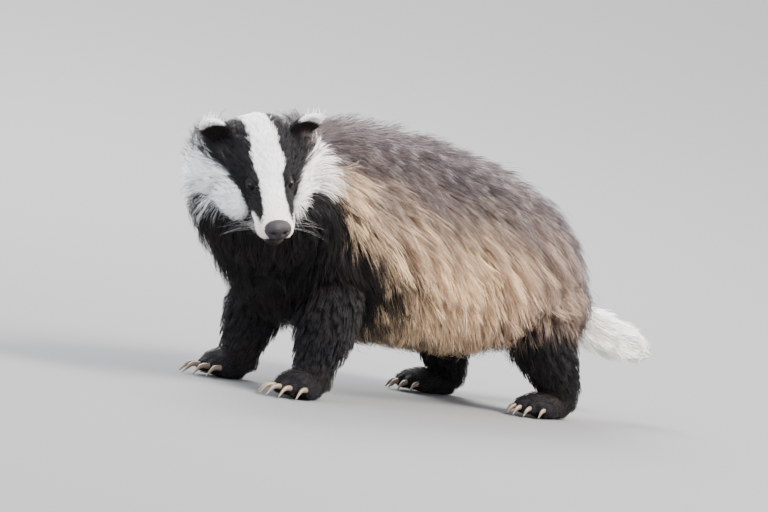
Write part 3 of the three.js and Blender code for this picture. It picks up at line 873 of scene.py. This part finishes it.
def mark_face(tones, p, names, where, ripple, nape):
    x, y, z = where["head"].T
    face = smoothstep(0.25, 0.6, where["share"][NAMES.index("head")]) * (names != "tail")
    face = face * (1 - nape)
    off_cheek = np.linalg.norm((where["head"] - CHEEK_AT) / CHEEK_HALF, axis=1)
    cheek = (1 - smoothstep(0.9, 1.12, off_cheek + 0.16 * (ripple - 0.5))) * (names == "neck")
    # painted warm light: the white grows warmer towards the face's left side, which faces the warm light;
    # it is also warmer towards the nose
    warm = smoothstep(-10, 70, y) * 0.3 + smoothstep(56, 84, x) * 0.45
    light = mix(WHITE, WARM, np.clip(warm, 0, 0.8))
    # painted shade: the lower sides of the muzzle are drawn towards a grey-brown, darker downwards
    light = mix(light, UMBER * 2.5, smoothstep(-20, -34, z) * smoothstep(34, 54, x) * 0.55)
    stripe = mix(BLACK, SOOT, smoothstep(10, -15, z) * 0.6)
    face_tone = mix(light, stripe, face_black(where["head"], p) * (1 - cheek))
    return repaint(tones, face_tone, np.maximum(face, cheek))


def mark_ears(tones, where, speck):
    edge = smoothstep(5, 9, where["ear"][:, 2] + 2 * (speck - 0.5))
    ear_tone = mix(SOOT, WHITE, edge)
    return repaint(tones, ear_tone, where["on_ear"])


def colours(p, where, streak):
    """Four colours along a hair for each point: root, low, high and tip. Streak is 1 in a dark lock."""
    names = np.array(NAMES)[where["part"]]
    speck = wave(p, 60, 8)
    ripple = wave(p * np.array([1, 1, 0.35]), 26, 5)
    head_and_neck = where["share"][NAMES.index("head")] + where["share"][NAMES.index("neck")]
    nape = behind_ears(where, head_and_neck, ripple)
    tones = body_tones(p, streak, speck, nape)
    tones = blacken(tones, p, names, streak, speck, ripple)
    tones = whiten_tail(tones, names, where)
    tones = mark_face(tones, p, names, where, ripple, nape)
    tones = mark_ears(tones, where, speck)
    return np.clip(tones, 0, 1)


print("white of the neck", 2 * CHEEK_HALF[0], "mm long")

# %% [markdown]
# ## The lie of the coat
# Hair streams away from the nose over the face, back over the neck and trunk and a little down the
# flanks, out along the tail and down the legs. It could be combed by hand, tuft by tuft. Here each form
# says its own way, and the ways are mixed by each form's share.

# %% Which way hair lies
def lie(p, normal, where):
    """The way of the hair along the skin at each point, of length 1."""
    total = np.zeros_like(p)
    downhill = unit(normal * normal[:, 2:] - np.array([0, 0, 1.0]))
    for name, share, a in zip(NAMES, where["share"], where["answers"]):
        along = a["along"]
        drop = downhill * smoothstep(0, 0.4, np.abs(np.cos(a["angle"])))[:, None]
        if name == "trunk":
            way = along + drop
        elif name == "neck":
            way = -along + 0.6 * drop + np.array([0, 0, -0.5]) * (np.sin(a["angle"]) < 0)[:, None]
        elif name == "head":
            away = unit(p - on_head(104, 0, -12))
            way = away - 0.25 * TURN[0] + np.array([0, 0, -0.22])
        else:
            way = along
        total += unit(way) * share[:, None]
    local = where["ear"] * np.array([0, 0.025, 0]) + np.array([0, 0, 1.0])
    up_ear = {side: (local @ EAR_SPIN[side].T) @ TURN for side in (1, -1)}
    up_ear = np.where(where["head"][:, 1:2] > 0, up_ear[1], up_ear[-1])
    total += (unit(up_ear) * 3 - total) * where["on_ear"][:, None]
    total -= normal * (total * normal).sum(1, keepdims=True)
    return unit(total)


print("ways told by", len(NAMES), "forms")

# %% [markdown]
# ### Length, lift and width
# The body's coat is long and stands off the skin. On the brow and the muzzle it is short and close, on
# the cheeks it grows into a ruff, and down the legs it grows shorter towards the paw.

# %% How long and how high
TRUNK_HAIR = (62, 27, HAIR_BODY)  # length, height above the skin, width
TAIL_HAIR = (56, 15, HAIR_BODY)
PAW_HAIR = (7, 1.5, HAIR_FACE)


def measures(where):
    """Length, height above the skin at the tip, and width of the hair at each point."""
    names = np.array(NAMES)[where["part"]]
    head = where["head"]
    length, lift, width = np.zeros((3, len(names)))
    for k, name in enumerate(NAMES):
        share = where["share"][k]
        if name == "trunk":
            size = TRUNK_HAIR
        elif name == "neck":
            low = 1 - smoothstep(0.55, 0.95, where["answers"][k]["t"])
            size = (30 + 24 * low, 8 + 17 * low, HAIR_BODY)
        elif name == "tail":
            size = TAIL_HAIR
        elif name == "head":
            back = smoothstep(66, -40, head[:, 0])
            wide = smoothstep(18, 52, np.abs(head[:, 1]))
            cheek = smoothstep(46, -26, head[:, 0]) * wide * smoothstep(30, 8, head[:, 2])
            size = (4 + 11 * back + 36 * cheek, 1.6 + 2.6 * back + 26 * cheek, HAIR_FACE + 0.12 * cheek)
        elif name.endswith("paw"):
            size = PAW_HAIR
        else:
            far = where["answers"][k]["t"]
            size = (30 - 19 * far, 9 - 6.5 * far, 0.52)
        length += share * size[0]
        lift += share * size[1]
        width += share * size[2]
    ear = where["on_ear"]
    edge = smoothstep(8, 18, where["ear"][:, 2])
    length += (6 + 6 * edge - length) * ear
    lift += (1.2 - lift) * ear
    return length, lift, width


print("hair on the body", TRUNK_HAIR[0], "mm long, on the paws", PAW_HAIR[0])

# %% [markdown]
# ## Paint on the skin
# Between hairs the skin shows through, so it carries the same colours, a little darker for the shade down
# there. Its colour sits on the points of the net, as a layer that the finish will read.

# %% Skin colours
skin_where = survey(skin_points)
skin_tones = colours(skin_points, skin_where, wave(skin_points, 18, 12))
SKIN_SHADE = 0.8
skin_paint = np.ones((len(skin_points), 4))
skin_paint[:, :3] = (skin_tones[0] * 0.5 + skin_tones[1] * 0.5) * SKIN_SHADE


def paint(mesh, values):
    layer = mesh.color_attributes.new("coat", "FLOAT_COLOR", "POINT")
    layer.data.foreach_set("color", values.astype(np.float32).ravel())


paint(wrapped, skin_paint)
print("skin painted, mean", skin_paint[:, :3].mean(0).round(3))

# %% [markdown]
# ## Roots
# Short hair must stand closer than long hair to hide the skin, so each face of the net gets its own
# density. Eyes, nose and the soles stay bare.

# %% How thick the coat is
wrapped.calc_loop_triangles()
triangles = np.empty(len(wrapped.loop_triangles) * 3, np.int32)
wrapped.loop_triangles.foreach_get("vertices", triangles)
triangles = triangles.reshape(-1, 3)
corners = skin_points[triangles]
cross = np.cross(corners[:, 1] - corners[:, 0], corners[:, 2] - corners[:, 0])
area = np.linalg.norm(cross, axis=1) / 2
face_part = skin_where["part"][triangles[:, 0]]
face_head = skin_where["head"][triangles[:, 0]]
names = np.array(NAMES)[face_part]
THICK_TAIL, THICK_LEG, THICK_NECK, THICK_TRUNK = 0.16, 0.17, 0.15, 0.135
thick_head = 0.5 + 0.5 * smoothstep(-20, 60, face_head[:, 0])
thick = np.select(
    [names == "head", names == "tail", np.char.find(names, "leg") >= 0, names == "neck"],
    [thick_head, THICK_TAIL, THICK_LEG, THICK_NECK],
    THICK_TRUNK,
)
BARE_SOLE, BARE_EYE = 3, 8.5  # height over the floor, and distance from the middle of the eye
BARE_NOSE_AT, BARE_NOSE_HALF = np.array([92, 0, -13]), np.array([11, 16, 12.5])
middle = corners.mean(1)
thick[middle[:, 2] < BARE_SOLE] = 0
for centre in EYE_CENTRE.values():
    thick[np.linalg.norm(middle - centre, axis=1) < BARE_EYE] = 0
thick[np.linalg.norm((face_head - BARE_NOSE_AT) / BARE_NOSE_HALF, axis=1) < 1] = 0
expected = area * thick
print("skin area in square metres", round(area.sum() / 1e6, 3), "bare faces", (thick == 0).sum())

# %% [markdown]
# The number of roots on a face goes with its area and density. What is left over after rounding is
# decided by chance, and so is each root's place on the face. A regular pattern would show through as
# rows.

# %% Strewing roots
COUNT = 96000  # hairs in all
wanted = expected / expected.sum() * COUNT
number = np.floor(wanted + rng.random(len(wanted))).astype(int)
chosen = np.repeat(np.arange(len(number)), number)
u, v = rng.random((2, len(chosen)))
flip = u + v > 1
u[flip], v[flip] = 1 - u[flip], 1 - v[flip]
tri = corners[chosen]
roots = tri[:, 0] + (tri[:, 1] - tri[:, 0]) * u[:, None] + (tri[:, 2] - tri[:, 0]) * v[:, None]
normals = unit(cross[chosen])
print("roots", len(roots))

# %% [markdown]
# ## Hairs
# A hair leaves the skin steeply and then lies over. Neighbours lean together at their tips, which parts
# the coat into locks, and a lock is longer, higher or darker than the next. Blender's own hair would do
# for a picture, but these hairs are to be a solid thing, so they are drawn as meshes.

# %% Locks
LOCK_SHARE = 0.12  # one root in eight or so is the middle of a lock
LONG_HAIR = 18  # from this length on, hairs lean well into their lock
STRAY_SHARE = 0.015  # hairs that stand off a little
where = survey(roots)
way = lie(roots, normals, where)
length, lift, width = measures(where)
centres = roots[rng.random(len(roots)) < LOCK_SHARE]
locks = kdtree.KDTree(len(centres))
for i, c in enumerate(centres):
    locks.insert(c, i)
locks.balance()
found = [locks.find(p) for p in roots]
lock = np.array([f[1] for f in found])
lean = np.array([f[0] for f in found]) - roots
lean -= normals * (lean * normals).sum(1, keepdims=True)
lean *= np.where(length > LONG_HAIR, 0.8, 0.2)[:, None]
sway = rng.normal(0, 0.2, len(centres))[lock] + rng.normal(0, 0.06, len(roots))
way = unit(way + np.cross(normals, way) * sway[:, None])
length = length * rng.uniform(0.72, 1.12, len(centres))[lock] * rng.uniform(0.9, 1.04, len(roots))
lift = lift * rng.uniform(0.62, 1.08, len(centres))[lock] * rng.uniform(0.85, 1.08, len(roots))
stray = rng.random(len(roots)) < STRAY_SHARE
lift[stray] *= 1.25
streak = smoothstep(0.38, 0.62, rng.random(len(centres)))[lock]
streak = np.clip(streak + rng.normal(0, 0.15, len(roots)), 0, 1)
tones = colours(roots, where, streak)
print("locks:", len(centres))

# %% [markdown]
# Each hair is walked along the skin in steps and lifted a little more at each, so that it follows the
# body's curve. The ears are thin, so a hair there would jump to the other face: it is drawn straight
# instead.

# %% Walking the hairs
FRACTIONS = (0.0, 0.4, 0.78, 1.0)
ROOT_DEPTH, TIP_GAP = 0.8, 0.4  # roots start in the skin, and no hair comes nearer to the floor
line = [roots - normals * ROOT_DEPTH]
for f in FRACTIONS[1:]:
    spot = roots + way * (length * f)[:, None] + lean * f
    rise = lift * (1 - (1 - f) ** 1.8)
    ground, out = onto_skin(spot)
    step = ground + out * rise[:, None]
    straight = spot + normals * rise[:, None]
    line.append(np.where(where["on_ear"][:, None] > 0.5, straight, step))
line = np.stack(line)
line[1:, :, 2] = np.maximum(line[1:, :, 2], TIP_GAP)
# painted shade of the partings: the hairs on the trunk are darkened at each point where a parting crosses
# them
on_trunk = smoothstep(0.3, 0.8, where["share"][NAMES.index("trunk")])
for tone, spot in zip(tones, line):
    tone *= 1 - FOLD_SHADE * (parting_shade(spot) * on_trunk)[:, None]
print("hairs walked", line.shape)

# %% [markdown]
# ## Coat pieces
# Each hair is a closed, three-sided, tapering sliver. The coat is cut into pieces by part of the body. A
# hair's place on the unwrapped skin is its form's own length and girth laid flat, and it takes a small
# patch there.

# %% The shape of a hair
LEVELS = len(FRACTIONS) - 1  # rings of three points on each hair, before its tip
HAIR_POINTS = 3 * LEVELS + 1
TAPER = (0.85, 1.0, 0.72)


def hair_points(pick):
    """For each hair at these places: three points round each level, and one at the tip."""
    path = line[:, pick]
    flow = unit(path[1:] - path[:-1])
    flow = np.concatenate([flow[:1], flow])
    flat = unit(np.cross(flow, normals[pick][None]))
    top = np.cross(flat, flow)
    half = width[pick] / 2
    rings = []
    for k, taper in enumerate(TAPER):
        w = (half * taper)[:, None]
        rings += [path[k] - flat[k] * w, path[k] + flat[k] * w, path[k] + top[k] * w * 0.9]
    return np.stack([*rings, path[LEVELS]], 1)


def hair_faces(count):
    """The triangles of so many hairs, each closed at its root and at its tip."""
    one = [(0, 1, 2)]
    for k in range(LEVELS - 1):
        for c in range(3):
            a, b = 3 * k + c, 3 * k + (c + 1) % 3
            one += [(a, a + 3, b), (b, a + 3, b + 3)]
    tip = HAIR_POINTS - 1
    one += [(tip - 3 + c, tip, tip - 3 + (c + 1) % 3) for c in range(3)]
    first = np.arange(count) * HAIR_POINTS
    return (np.array(one)[None] + first[:, None, None]).reshape(-1, 3)


print("triangles on a hair:", len(hair_faces(1)))

# %% [markdown]
# A coat of over a million triangles is slow to build from lists, so its numbers go in as whole arrays.
# The colours ride on the points, and the place on the unwrapped skin on the corners.

# %% Building the pieces
SLOTS = {
    "trunk": "body_coat",
    "neck": "neck_coat",
    "head": "face_coat",
    "tail": "tail_coat",
    "legs": "leg_coat",
}
TUFT_PATCH = 0.003
PIECE = 12000  # hairs in a piece, at most


def unwrap(where):
    """Each point's place on the flat skin: its form's length across, girth up, limbs in eight strips."""
    u = where["t"]
    v = np.mod(where["angle"] / (2 * np.pi) + 0.25, 1)
    limb = np.maximum(where["part"] - FIRST_LIMB, 0)
    strip = where["part"] >= FIRST_LIMB
    u = np.where(strip, (u + limb % 4) / 4, u)
    v = np.where(strip, (v + limb // 4) / 2, v)
    return 0.004 + 0.99 * np.stack([u, v], 1)


def hair_mesh(name, pick):
    """One mesh of closed, three-sided hairs from the walked lines at these places."""
    count, tip = len(pick), HAIR_POINTS - 1
    verts, faces = hair_points(pick), hair_faces(count)
    mesh = bpy.data.meshes.new(name)
    mesh.vertices.add(count * HAIR_POINTS)
    mesh.vertices.foreach_set("co", (verts.reshape(-1, 3) * 0.001 + SHIFT).astype(np.float32).ravel())
    mesh.loops.add(len(faces) * 3)
    mesh.loops.foreach_set("vertex_index", faces.ravel().astype(np.int32))
    mesh.polygons.add(len(faces))
    mesh.polygons.foreach_set("loop_start", np.arange(0, len(faces) * 3, 3, dtype=np.int32))
    mesh.polygons.foreach_set("use_smooth", [True] * len(faces))
    mesh.update(calc_edges=True)
    shade = 1 + rng.normal(0, 0.09, count)
    values = np.ones((count, HAIR_POINTS, 4))
    for k in range(LEVELS):
        values[:, 3 * k : 3 * k + 3, :3] = (tones[k][pick] * shade[:, None])[:, None]
    values[:, tip, :3] = tones[3][pick] * shade[:, None]
    paint(mesh, values.reshape(-1, 4))
    home = unwrap({key: where[key][pick] for key in ("t", "angle", "part")})
    patch = [((i % 3 - 1) * 0.4, i // 3 / LEVELS - 0.5) for i in range(HAIR_POINTS)]
    patch = np.array(patch) * TUFT_PATCH
    flat_map = home[:, None] + patch[None]
    layer = mesh.uv_layers.new(name="OFBake")
    layer.data.foreach_set("uv", flat_map.reshape(-1, 2)[faces.ravel()].astype(np.float32).ravel())
    obj = bpy.data.objects.new(name, mesh)
    bpy.context.scene.collection.objects.link(obj)
    return obj


part = where["part"]
groups = {name: part == k for k, name in enumerate(NAMES[:FIRST_LIMB])}
groups["legs"] = part >= FIRST_LIMB
coat = {}
for group, mask in groups.items():
    picked = np.flatnonzero(mask)
    picked = picked[np.argsort(where["t"][picked], kind="stable")]
    for k in range(0, len(picked), PIECE):
        name = f"coat_{group}_{k // PIECE + 1}"
        coat[name] = (hair_mesh(name, picked[k : k + PIECE]), SLOTS[group])
print({name: len(obj.data.polygons) for name, (obj, _) in coat.items()})

# %% [markdown]
# ## Eyes and lids
# A badger's eye is small, round and nearly black, set deep under the brow. The lids could be pulled out
# of the skin itself, but its net is too coarse there. So they are a net of rings of their own round an
# almond opening. They start on the ball, stand a little proud of it and run out under the hair of the
# face.

# %% Lids
OPENING = (6.0, 4.6)  # half length and half height
LID_SIDES, LID_RINGS = 48, 12
LID_REACH = 11.5  # from the middle of the eye to the outer ring
LID_FLOOR = 1.2  # the rings stay at least so far in front of that middle until they turn to the skin


def lids(side):
    out = GAZE[side] @ TURN
    ahead = unit(TURN[0] - out * (TURN[0] @ out))
    above = np.cross(out, ahead)
    above = above * np.sign(above @ TURN[2])
    a = np.arange(LID_SIDES) / LID_SIDES * 2 * np.pi
    opening = 1 / np.hypot(np.cos(a) / OPENING[0], np.sin(a) / OPENING[1])
    verts = []
    for k in range(LID_RINGS + 1):
        f = max(k - 1, 0) / (LID_RINGS - 1)
        far = opening + (LID_REACH - opening) * f
        radius = EYE_RADIUS * (0.93 if k == 0 else 1.1)
        rise = np.sqrt(np.maximum(radius**2 - far**2, 0))
        flat = ahead * (np.cos(a) * far)[:, None] + above * (np.sin(a) * far)[:, None]
        dome = EYE_CENTRE[side] + flat + out * np.maximum(rise, LID_FLOOR)[:, None]
        ground, _ = onto_skin(dome)
        blend = smoothstep(0.15, 0.95, f)
        verts.append(dome * (1 - blend) + (ground - out * 0.8 * f) * blend)
    faces = ring_faces(LID_RINGS, LID_SIDES)
    if side < 0:
        faces = [face[::-1] for face in faces]
    return np.vstack(verts), faces


pieces = {}
for side, word in ((1, "left"), (-1, "right")):
    verts, faces = ball(40, 24)
    pieces[f"eye_{word}"] = new_mesh(f"eyeball_{word}", verts * EYE_RADIUS + EYE_CENTRE[side], faces)
    pieces[f"lids_{word}"] = new_mesh(f"lids_{word}", *lids(side))
print("eyes", round(2 * EYE_RADIUS, 1), "mm across")

# %% [markdown]
# ## Nose pad
# The pad is a blunt cushion of fine-grained skin. Its nostrils are commas: a round pit to the front that
# runs out to a slit at each side. A shallow groove parts it below. Cutting these would leave hard edges,
# so they are pushed into a fine ball.

# %% Nose
NOSE_AT, NOSE_HALF = np.array([91.0, 0, -13]), np.array([10.0, 15.4, 11.2])
sphere, faces = ball(120, 80)
box = np.sign(sphere) * np.abs(sphere) ** 0.9
local = box / np.linalg.norm(box, axis=1, keepdims=True) ** 0.6 * NOSE_HALF
front = smoothstep(0.0, 0.4, sphere[:, 0])
y, z = local[:, 1], local[:, 2]
NOSTRIL_DEPTH, SLIT_DEPTH, GROOVE_DEPTH = 4.6, 2.1, 0.9
pit = np.exp(-(((np.abs(y) - 6.2) / 2.5) ** 2) - ((z + 0.8) / 2.7) ** 2)
slit = np.exp(-(((z + 2.6 - 0.18 * np.abs(y)) / 1.1) ** 2)) * smoothstep(6, 9, np.abs(y))
groove = np.exp(-((y / 0.8) ** 2)) * smoothstep(4, -3, z)
push = NOSTRIL_DEPTH * pit * front
push = push + SLIT_DEPTH * slit * smoothstep(-0.3, 0.2, sphere[:, 0]) + GROOVE_DEPTH * groove * front
local -= unit(sphere * np.array([1.0, 0.35, 0.2])) * push[:, None]
local[:, 2] -= 0.10 * np.maximum(local[:, 0], 0)
pieces["nose"] = new_mesh("nose_pad", on_head(local + NOSE_AT), faces)
print("nose pad", round(2 * NOSE_HALF[1]), "mm wide")

# %% [markdown]
# ## Claws
# The fore claws are long and strong, for digging. A cone would be too plain, so each is a slim form that
# bends down to its point.

# %% Claws
for name, leg in LEGS.items():
    for i, (tip, toe_way) in enumerate(toe_tips(leg)):
        verts, faces = claw_form(tip, toe_way, leg[0]).shell(16, 14)
        pieces[f"claw_{name}_{i + 1}"] = new_mesh(f"talon_{name}_{i + 1}", verts, faces)
print("claws:", sum(name.startswith("claw") for name in pieces))

# %% [markdown]
# ## Whiskers
# Fine, pale bristles stand on the lips and droop with their own weight. Each is a form of six stations,
# far thinner than any other in this lesson.

# %% Whiskers
WHISKERS = 11  # on each side
whisker_verts, whisker_faces = [], []
for side in (1, -1):
    for k in range(WHISKERS):
        x = 48 + 26 * rng.random()
        guess = on_head(x, side * 24, -20 - 9 * rng.random())[0]
        root, out = (rows[0] for rows in onto_skin([guess]))
        reach = rng.uniform(26, 52)
        aim = unit(out + TURN[1] * side * 0.5 - TURN[0] * rng.uniform(0.1, 0.6) + rng.normal(0, 0.16, 3))
        stations = []
        for f in np.linspace(0, 1, 6):
            at = root + aim * reach * f + np.array([0, 0, -0.22 * reach]) * f * f
            thin = 0.09 * (1 - f) + THINNEST
            stations.append((at, thin, thin, thin))
        verts, faces = Form(stations, up_from=TURN[2]).shell(6, 5)
        start = sum(len(v) for v in whisker_verts)
        whisker_verts.append(verts)
        whisker_faces += [[i + start for i in face] for face in faces]
pieces["whiskers"] = new_mesh("whiskers", np.vstack(whisker_verts), whisker_faces)
print("whiskers:", 2 * WHISKERS)

# %% [markdown]
# ## Finishes
# Hair is rough with a faint sheen, and its colour comes from the paint on its points. The eye is wet and
# dark, and lids and nose are fine-grained. Horn is satin, with fine cells. The grains are patterns worked
# out by Blender, as a picture wrapped round such small pieces would blur.

# %% Materials
def principled(name, color=(0.5, 0.5, 0.5), roughness=0.5, specular=0.5):
    material = bpy.data.materials.new(name)
    material.use_nodes = True
    shader = material.node_tree.nodes["Principled BSDF"]
    shader.inputs["Base Color"].default_value = (*color, 1)
    shader.inputs["Roughness"].default_value = roughness
    shader.inputs["Specular IOR Level"].default_value = specular
    return material, shader


def hair_material(name, roughness, specular):
    """Colour from the painted points, with a little uneven light and dark."""
    material, shader = principled(name, roughness=roughness, specular=specular)
    nodes, links = material.node_tree.nodes, material.node_tree.links
    painted = nodes.new("ShaderNodeAttribute")
    painted.attribute_name = "coat"
    noise = nodes.new("ShaderNodeTexNoise")
    noise.inputs["Scale"].default_value = 60
    noise.inputs["Detail"].default_value = 3
    spread = nodes.new("ShaderNodeMapRange")
    spread.inputs["To Min"].default_value = 0.82
    spread.inputs["To Max"].default_value = 1.16
    tint = nodes.new("ShaderNodeMix")
    tint.data_type, tint.blend_type = "RGBA", "MULTIPLY"
    tint.inputs["Factor"].default_value = 1
    links.new(noise.outputs["Fac"], spread.inputs["Value"])
    links.new(painted.outputs["Color"], tint.inputs["A"])
    links.new(spread.outputs["Result"], tint.inputs["B"])
    links.new(tint.outputs["Result"], shader.inputs["Base Color"])
    return material


def grained(name, dark, light, scale, roughness, bump, specular=0.5):
    """A skin or horn with fine cells: a cell pattern gives both the shade and the relief."""
    material, shader = principled(name, dark, roughness, specular)
    nodes, links = material.node_tree.nodes, material.node_tree.links
    cells = nodes.new("ShaderNodeTexVoronoi")
    cells.inputs["Scale"].default_value = scale
    ramp = nodes.new("ShaderNodeMix")
    ramp.data_type = "RGBA"
    ramp.inputs["A"].default_value = (*light, 1)
    ramp.inputs["B"].default_value = (*dark, 1)
    relief = nodes.new("ShaderNodeBump")
    relief.inputs["Strength"].default_value = bump
    relief.inputs["Distance"].default_value = 0.0004
    links.new(cells.outputs["Distance"], ramp.inputs["Factor"])
    links.new(ramp.outputs["Result"], shader.inputs["Base Color"])
    links.new(cells.outputs["Distance"], relief.inputs["Height"])
    links.new(relief.outputs["Normal"], shader.inputs["Normal"])
    return material


hair_look = hair_material("hair", 0.55, 0.22)
skin_look = hair_material("hide", 0.85, 0.15)
nose_look = grained("nose_skin", (0.008, 0.005, 0.006), (0.026, 0.018, 0.022), 1400, 0.42, 0.5, 0.3)
lid_look = grained("lid_skin", (0.006, 0.005, 0.005), (0.014, 0.010, 0.010), 1500, 0.6, 0.3, 0.2)
claw_look = grained("horn", (0.09, 0.06, 0.04), (0.22, 0.16, 0.11), 420, 0.35, 0.2)
eye_look, _ = principled("eye_dark", (0.004, 0.002, 0.0015), 0.06, 0.14)
whisker_look, _ = principled("whisker", (0.3, 0.28, 0.27), 0.4, 0.4)
finishes = (hair_look, skin_look, nose_look, lid_look, claw_look, eye_look, whisker_look)
print("finishes:", [look.name for look in finishes])

# %% [markdown]
# ## Who wears what
# The model is one still body, so every piece rides on its root. The skin stands in for the solids of the
# flesh, and each eye, claw and the nose for its own solid. The coat lies over them and replaces none.

# %% Who wears what
skin.data.materials.clear()
skin.data.materials.append(skin_look)
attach(skin, "root")
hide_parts("torso", "neck", "head", "tail", "ear_left", "ear_right", *LEGS)
for name, (obj, slot) in coat.items():
    obj.data.materials.append(hair_look)
    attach(obj, "root")
WORN = {
    "eye": (eye_look, "eye"),
    "lids": (lid_look, "face_coat"),
    "nose": (nose_look, "nose_skin"),
    "claw": (claw_look, "claw_horn"),
    "whiskers": (whisker_look, "face_coat"),
}
for name, obj in pieces.items():
    kind = name.split("_")[0]
    look, slot = WORN[kind]
    obj.data.materials.append(look)
    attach(obj, "root")
    if kind in ("eye", "nose", "claw"):
        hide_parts(name)
print("pieces in all:", 1 + len(coat) + len(pieces))

# %% [markdown]
# ## Studio
# A pale sweep: a floor that bends up to a wall far behind. A flat floor alone would end in an edge, which
# a bend of this size hides.

# %% Floor
FLAT_TO, BEND = 1.0, 14.0
bend_angles = np.linspace(0.02, np.pi / 3, 30)
bend = [(FLAT_TO + BEND * np.sin(a), BEND - BEND * np.cos(a)) for a in bend_angles]
sweep_line = [(-8.0, 0.0), (FLAT_TO, 0.0), *bend]
SWEEP_HALF = 14.0
sight = np.array([0.7071, 0.7071])  # the way that the camera looks
cross_way = np.array([0.7071, -0.7071])
sweep_verts = []
for far, up in sweep_line:
    for wide in (-SWEEP_HALF, SWEEP_HALF):
        spot = sight * far + cross_way * wide
        sweep_verts.append((spot[0], spot[1], up))
sweep_faces = [(2 * k, 2 * k + 1, 2 * k + 3, 2 * k + 2) for k in range(len(sweep_line) - 1)]
sweep_mesh = bpy.data.meshes.new("sweep")
sweep_mesh.from_pydata(sweep_verts, [], sweep_faces)
sweep_mesh.polygons.foreach_set("use_smooth", [True] * len(sweep_faces))
sweep = bpy.data.objects.new("sweep", sweep_mesh)
bpy.context.scene.collection.objects.link(sweep)
floor_look, _ = principled("pale_floor", (0.158, 0.158, 0.158), 0.9, 0.1)
sweep_mesh.materials.append(floor_look)
print("sweep", round(sweep_line[-1][0] - sweep_line[0][0], 1), "m deep")

# %% [markdown]
# A large warm light stands at the upper right and a weak cool one at the left. A third rims the back, a
# fourth washes the wall, and a pale sky fills the rest. One sun would be simpler, but its hard shadows
# break a coat up into noise.

# %% Sky and lamps
world = bpy.data.worlds.new("sky")
bpy.context.scene.world = world
world.use_nodes = True
world.node_tree.nodes["Background"].inputs["Color"].default_value = (0.92, 0.95, 1.0, 1)
world.node_tree.nodes["Background"].inputs["Strength"].default_value = 3.0
ON_ANIMAL = (-0.1, 0, 0.2)
LAMPS = [
    # name, place in metres, watts, size, colour, and the spot that it shines on
    ("key", (1.2, -2.6, 2.9), 680, 1.8, (1.0, 0.94, 0.86), ON_ANIMAL),
    ("fill", (-3.0, -0.6, 1.6), 110, 2.4, (0.76, 0.89, 1.0), ON_ANIMAL),
    ("back", (1.2, 2.4, 2.6), 270, 2.0, (1.0, 1.0, 1.0), ON_ANIMAL),
    ("wash", (1.5, 4.5, 4.5), 860, 4.0, (1.0, 1.0, 1.0), (5.0, 5.0, 1.0)),
]


def soft_light(name, spot, power, size, color, aim):
    data = bpy.data.lights.new(name, "AREA")
    data.energy, data.size, data.color = power, size, color
    lamp = bpy.data.objects.new(name, data)
    bpy.context.scene.collection.objects.link(lamp)
    lamp.location = spot
    lamp.rotation_euler = (Vector(aim) - Vector(spot)).to_track_quat("-Z", "Y").to_euler()


for lamp in LAMPS:
    soft_light(*lamp)
print("lamps:", len(LAMPS))

# %% [markdown]
# ## Camera
# Seen from far off through a long lens, from the animal's front left, three degrees above the level. The
# camera is rolled nine degrees: tilting the model would do the same, but a model should stand on its
# feet.

# %% Camera
DISTANCE, ELEVATION, ROLL = 6.0, np.radians(3), np.radians(9)
AIM = np.array([0.155, 0, 0.167]) + SHIFT
PICTURE_WIDTH, FOCAL_PIXELS, SENSOR_WIDTH = 768, 5100, 36
DIAGONAL = 0.70711  # cosine of 45 degrees
level = -DIAGONAL * np.cos(ELEVATION)
back_way = np.array([level, level, np.sin(ELEVATION)])
right_way = np.array([DIAGONAL, -DIAGONAL, 0])
up_way = np.cross(back_way, right_way)
right_rolled = right_way * np.cos(ROLL) + up_way * np.sin(ROLL)
up_rolled = up_way * np.cos(ROLL) - right_way * np.sin(ROLL)
camera_data = bpy.data.cameras.new("camera")
camera = bpy.data.objects.new("camera", camera_data)
bpy.context.scene.collection.objects.link(camera)
camera_data.sensor_width = SENSOR_WIDTH
camera_data.lens = SENSOR_WIDTH * FOCAL_PIXELS / PICTURE_WIDTH
camera_data.clip_end = 60
place = AIM + back_way * DISTANCE
rows = np.stack([right_rolled, up_rolled, back_way, place], 1)
camera.matrix_world = Matrix([*rows.tolist(), [0, 0, 0, 1]])
bpy.context.scene.camera = camera
print("lens", round(camera_data.lens), "mm at", place.round(2))
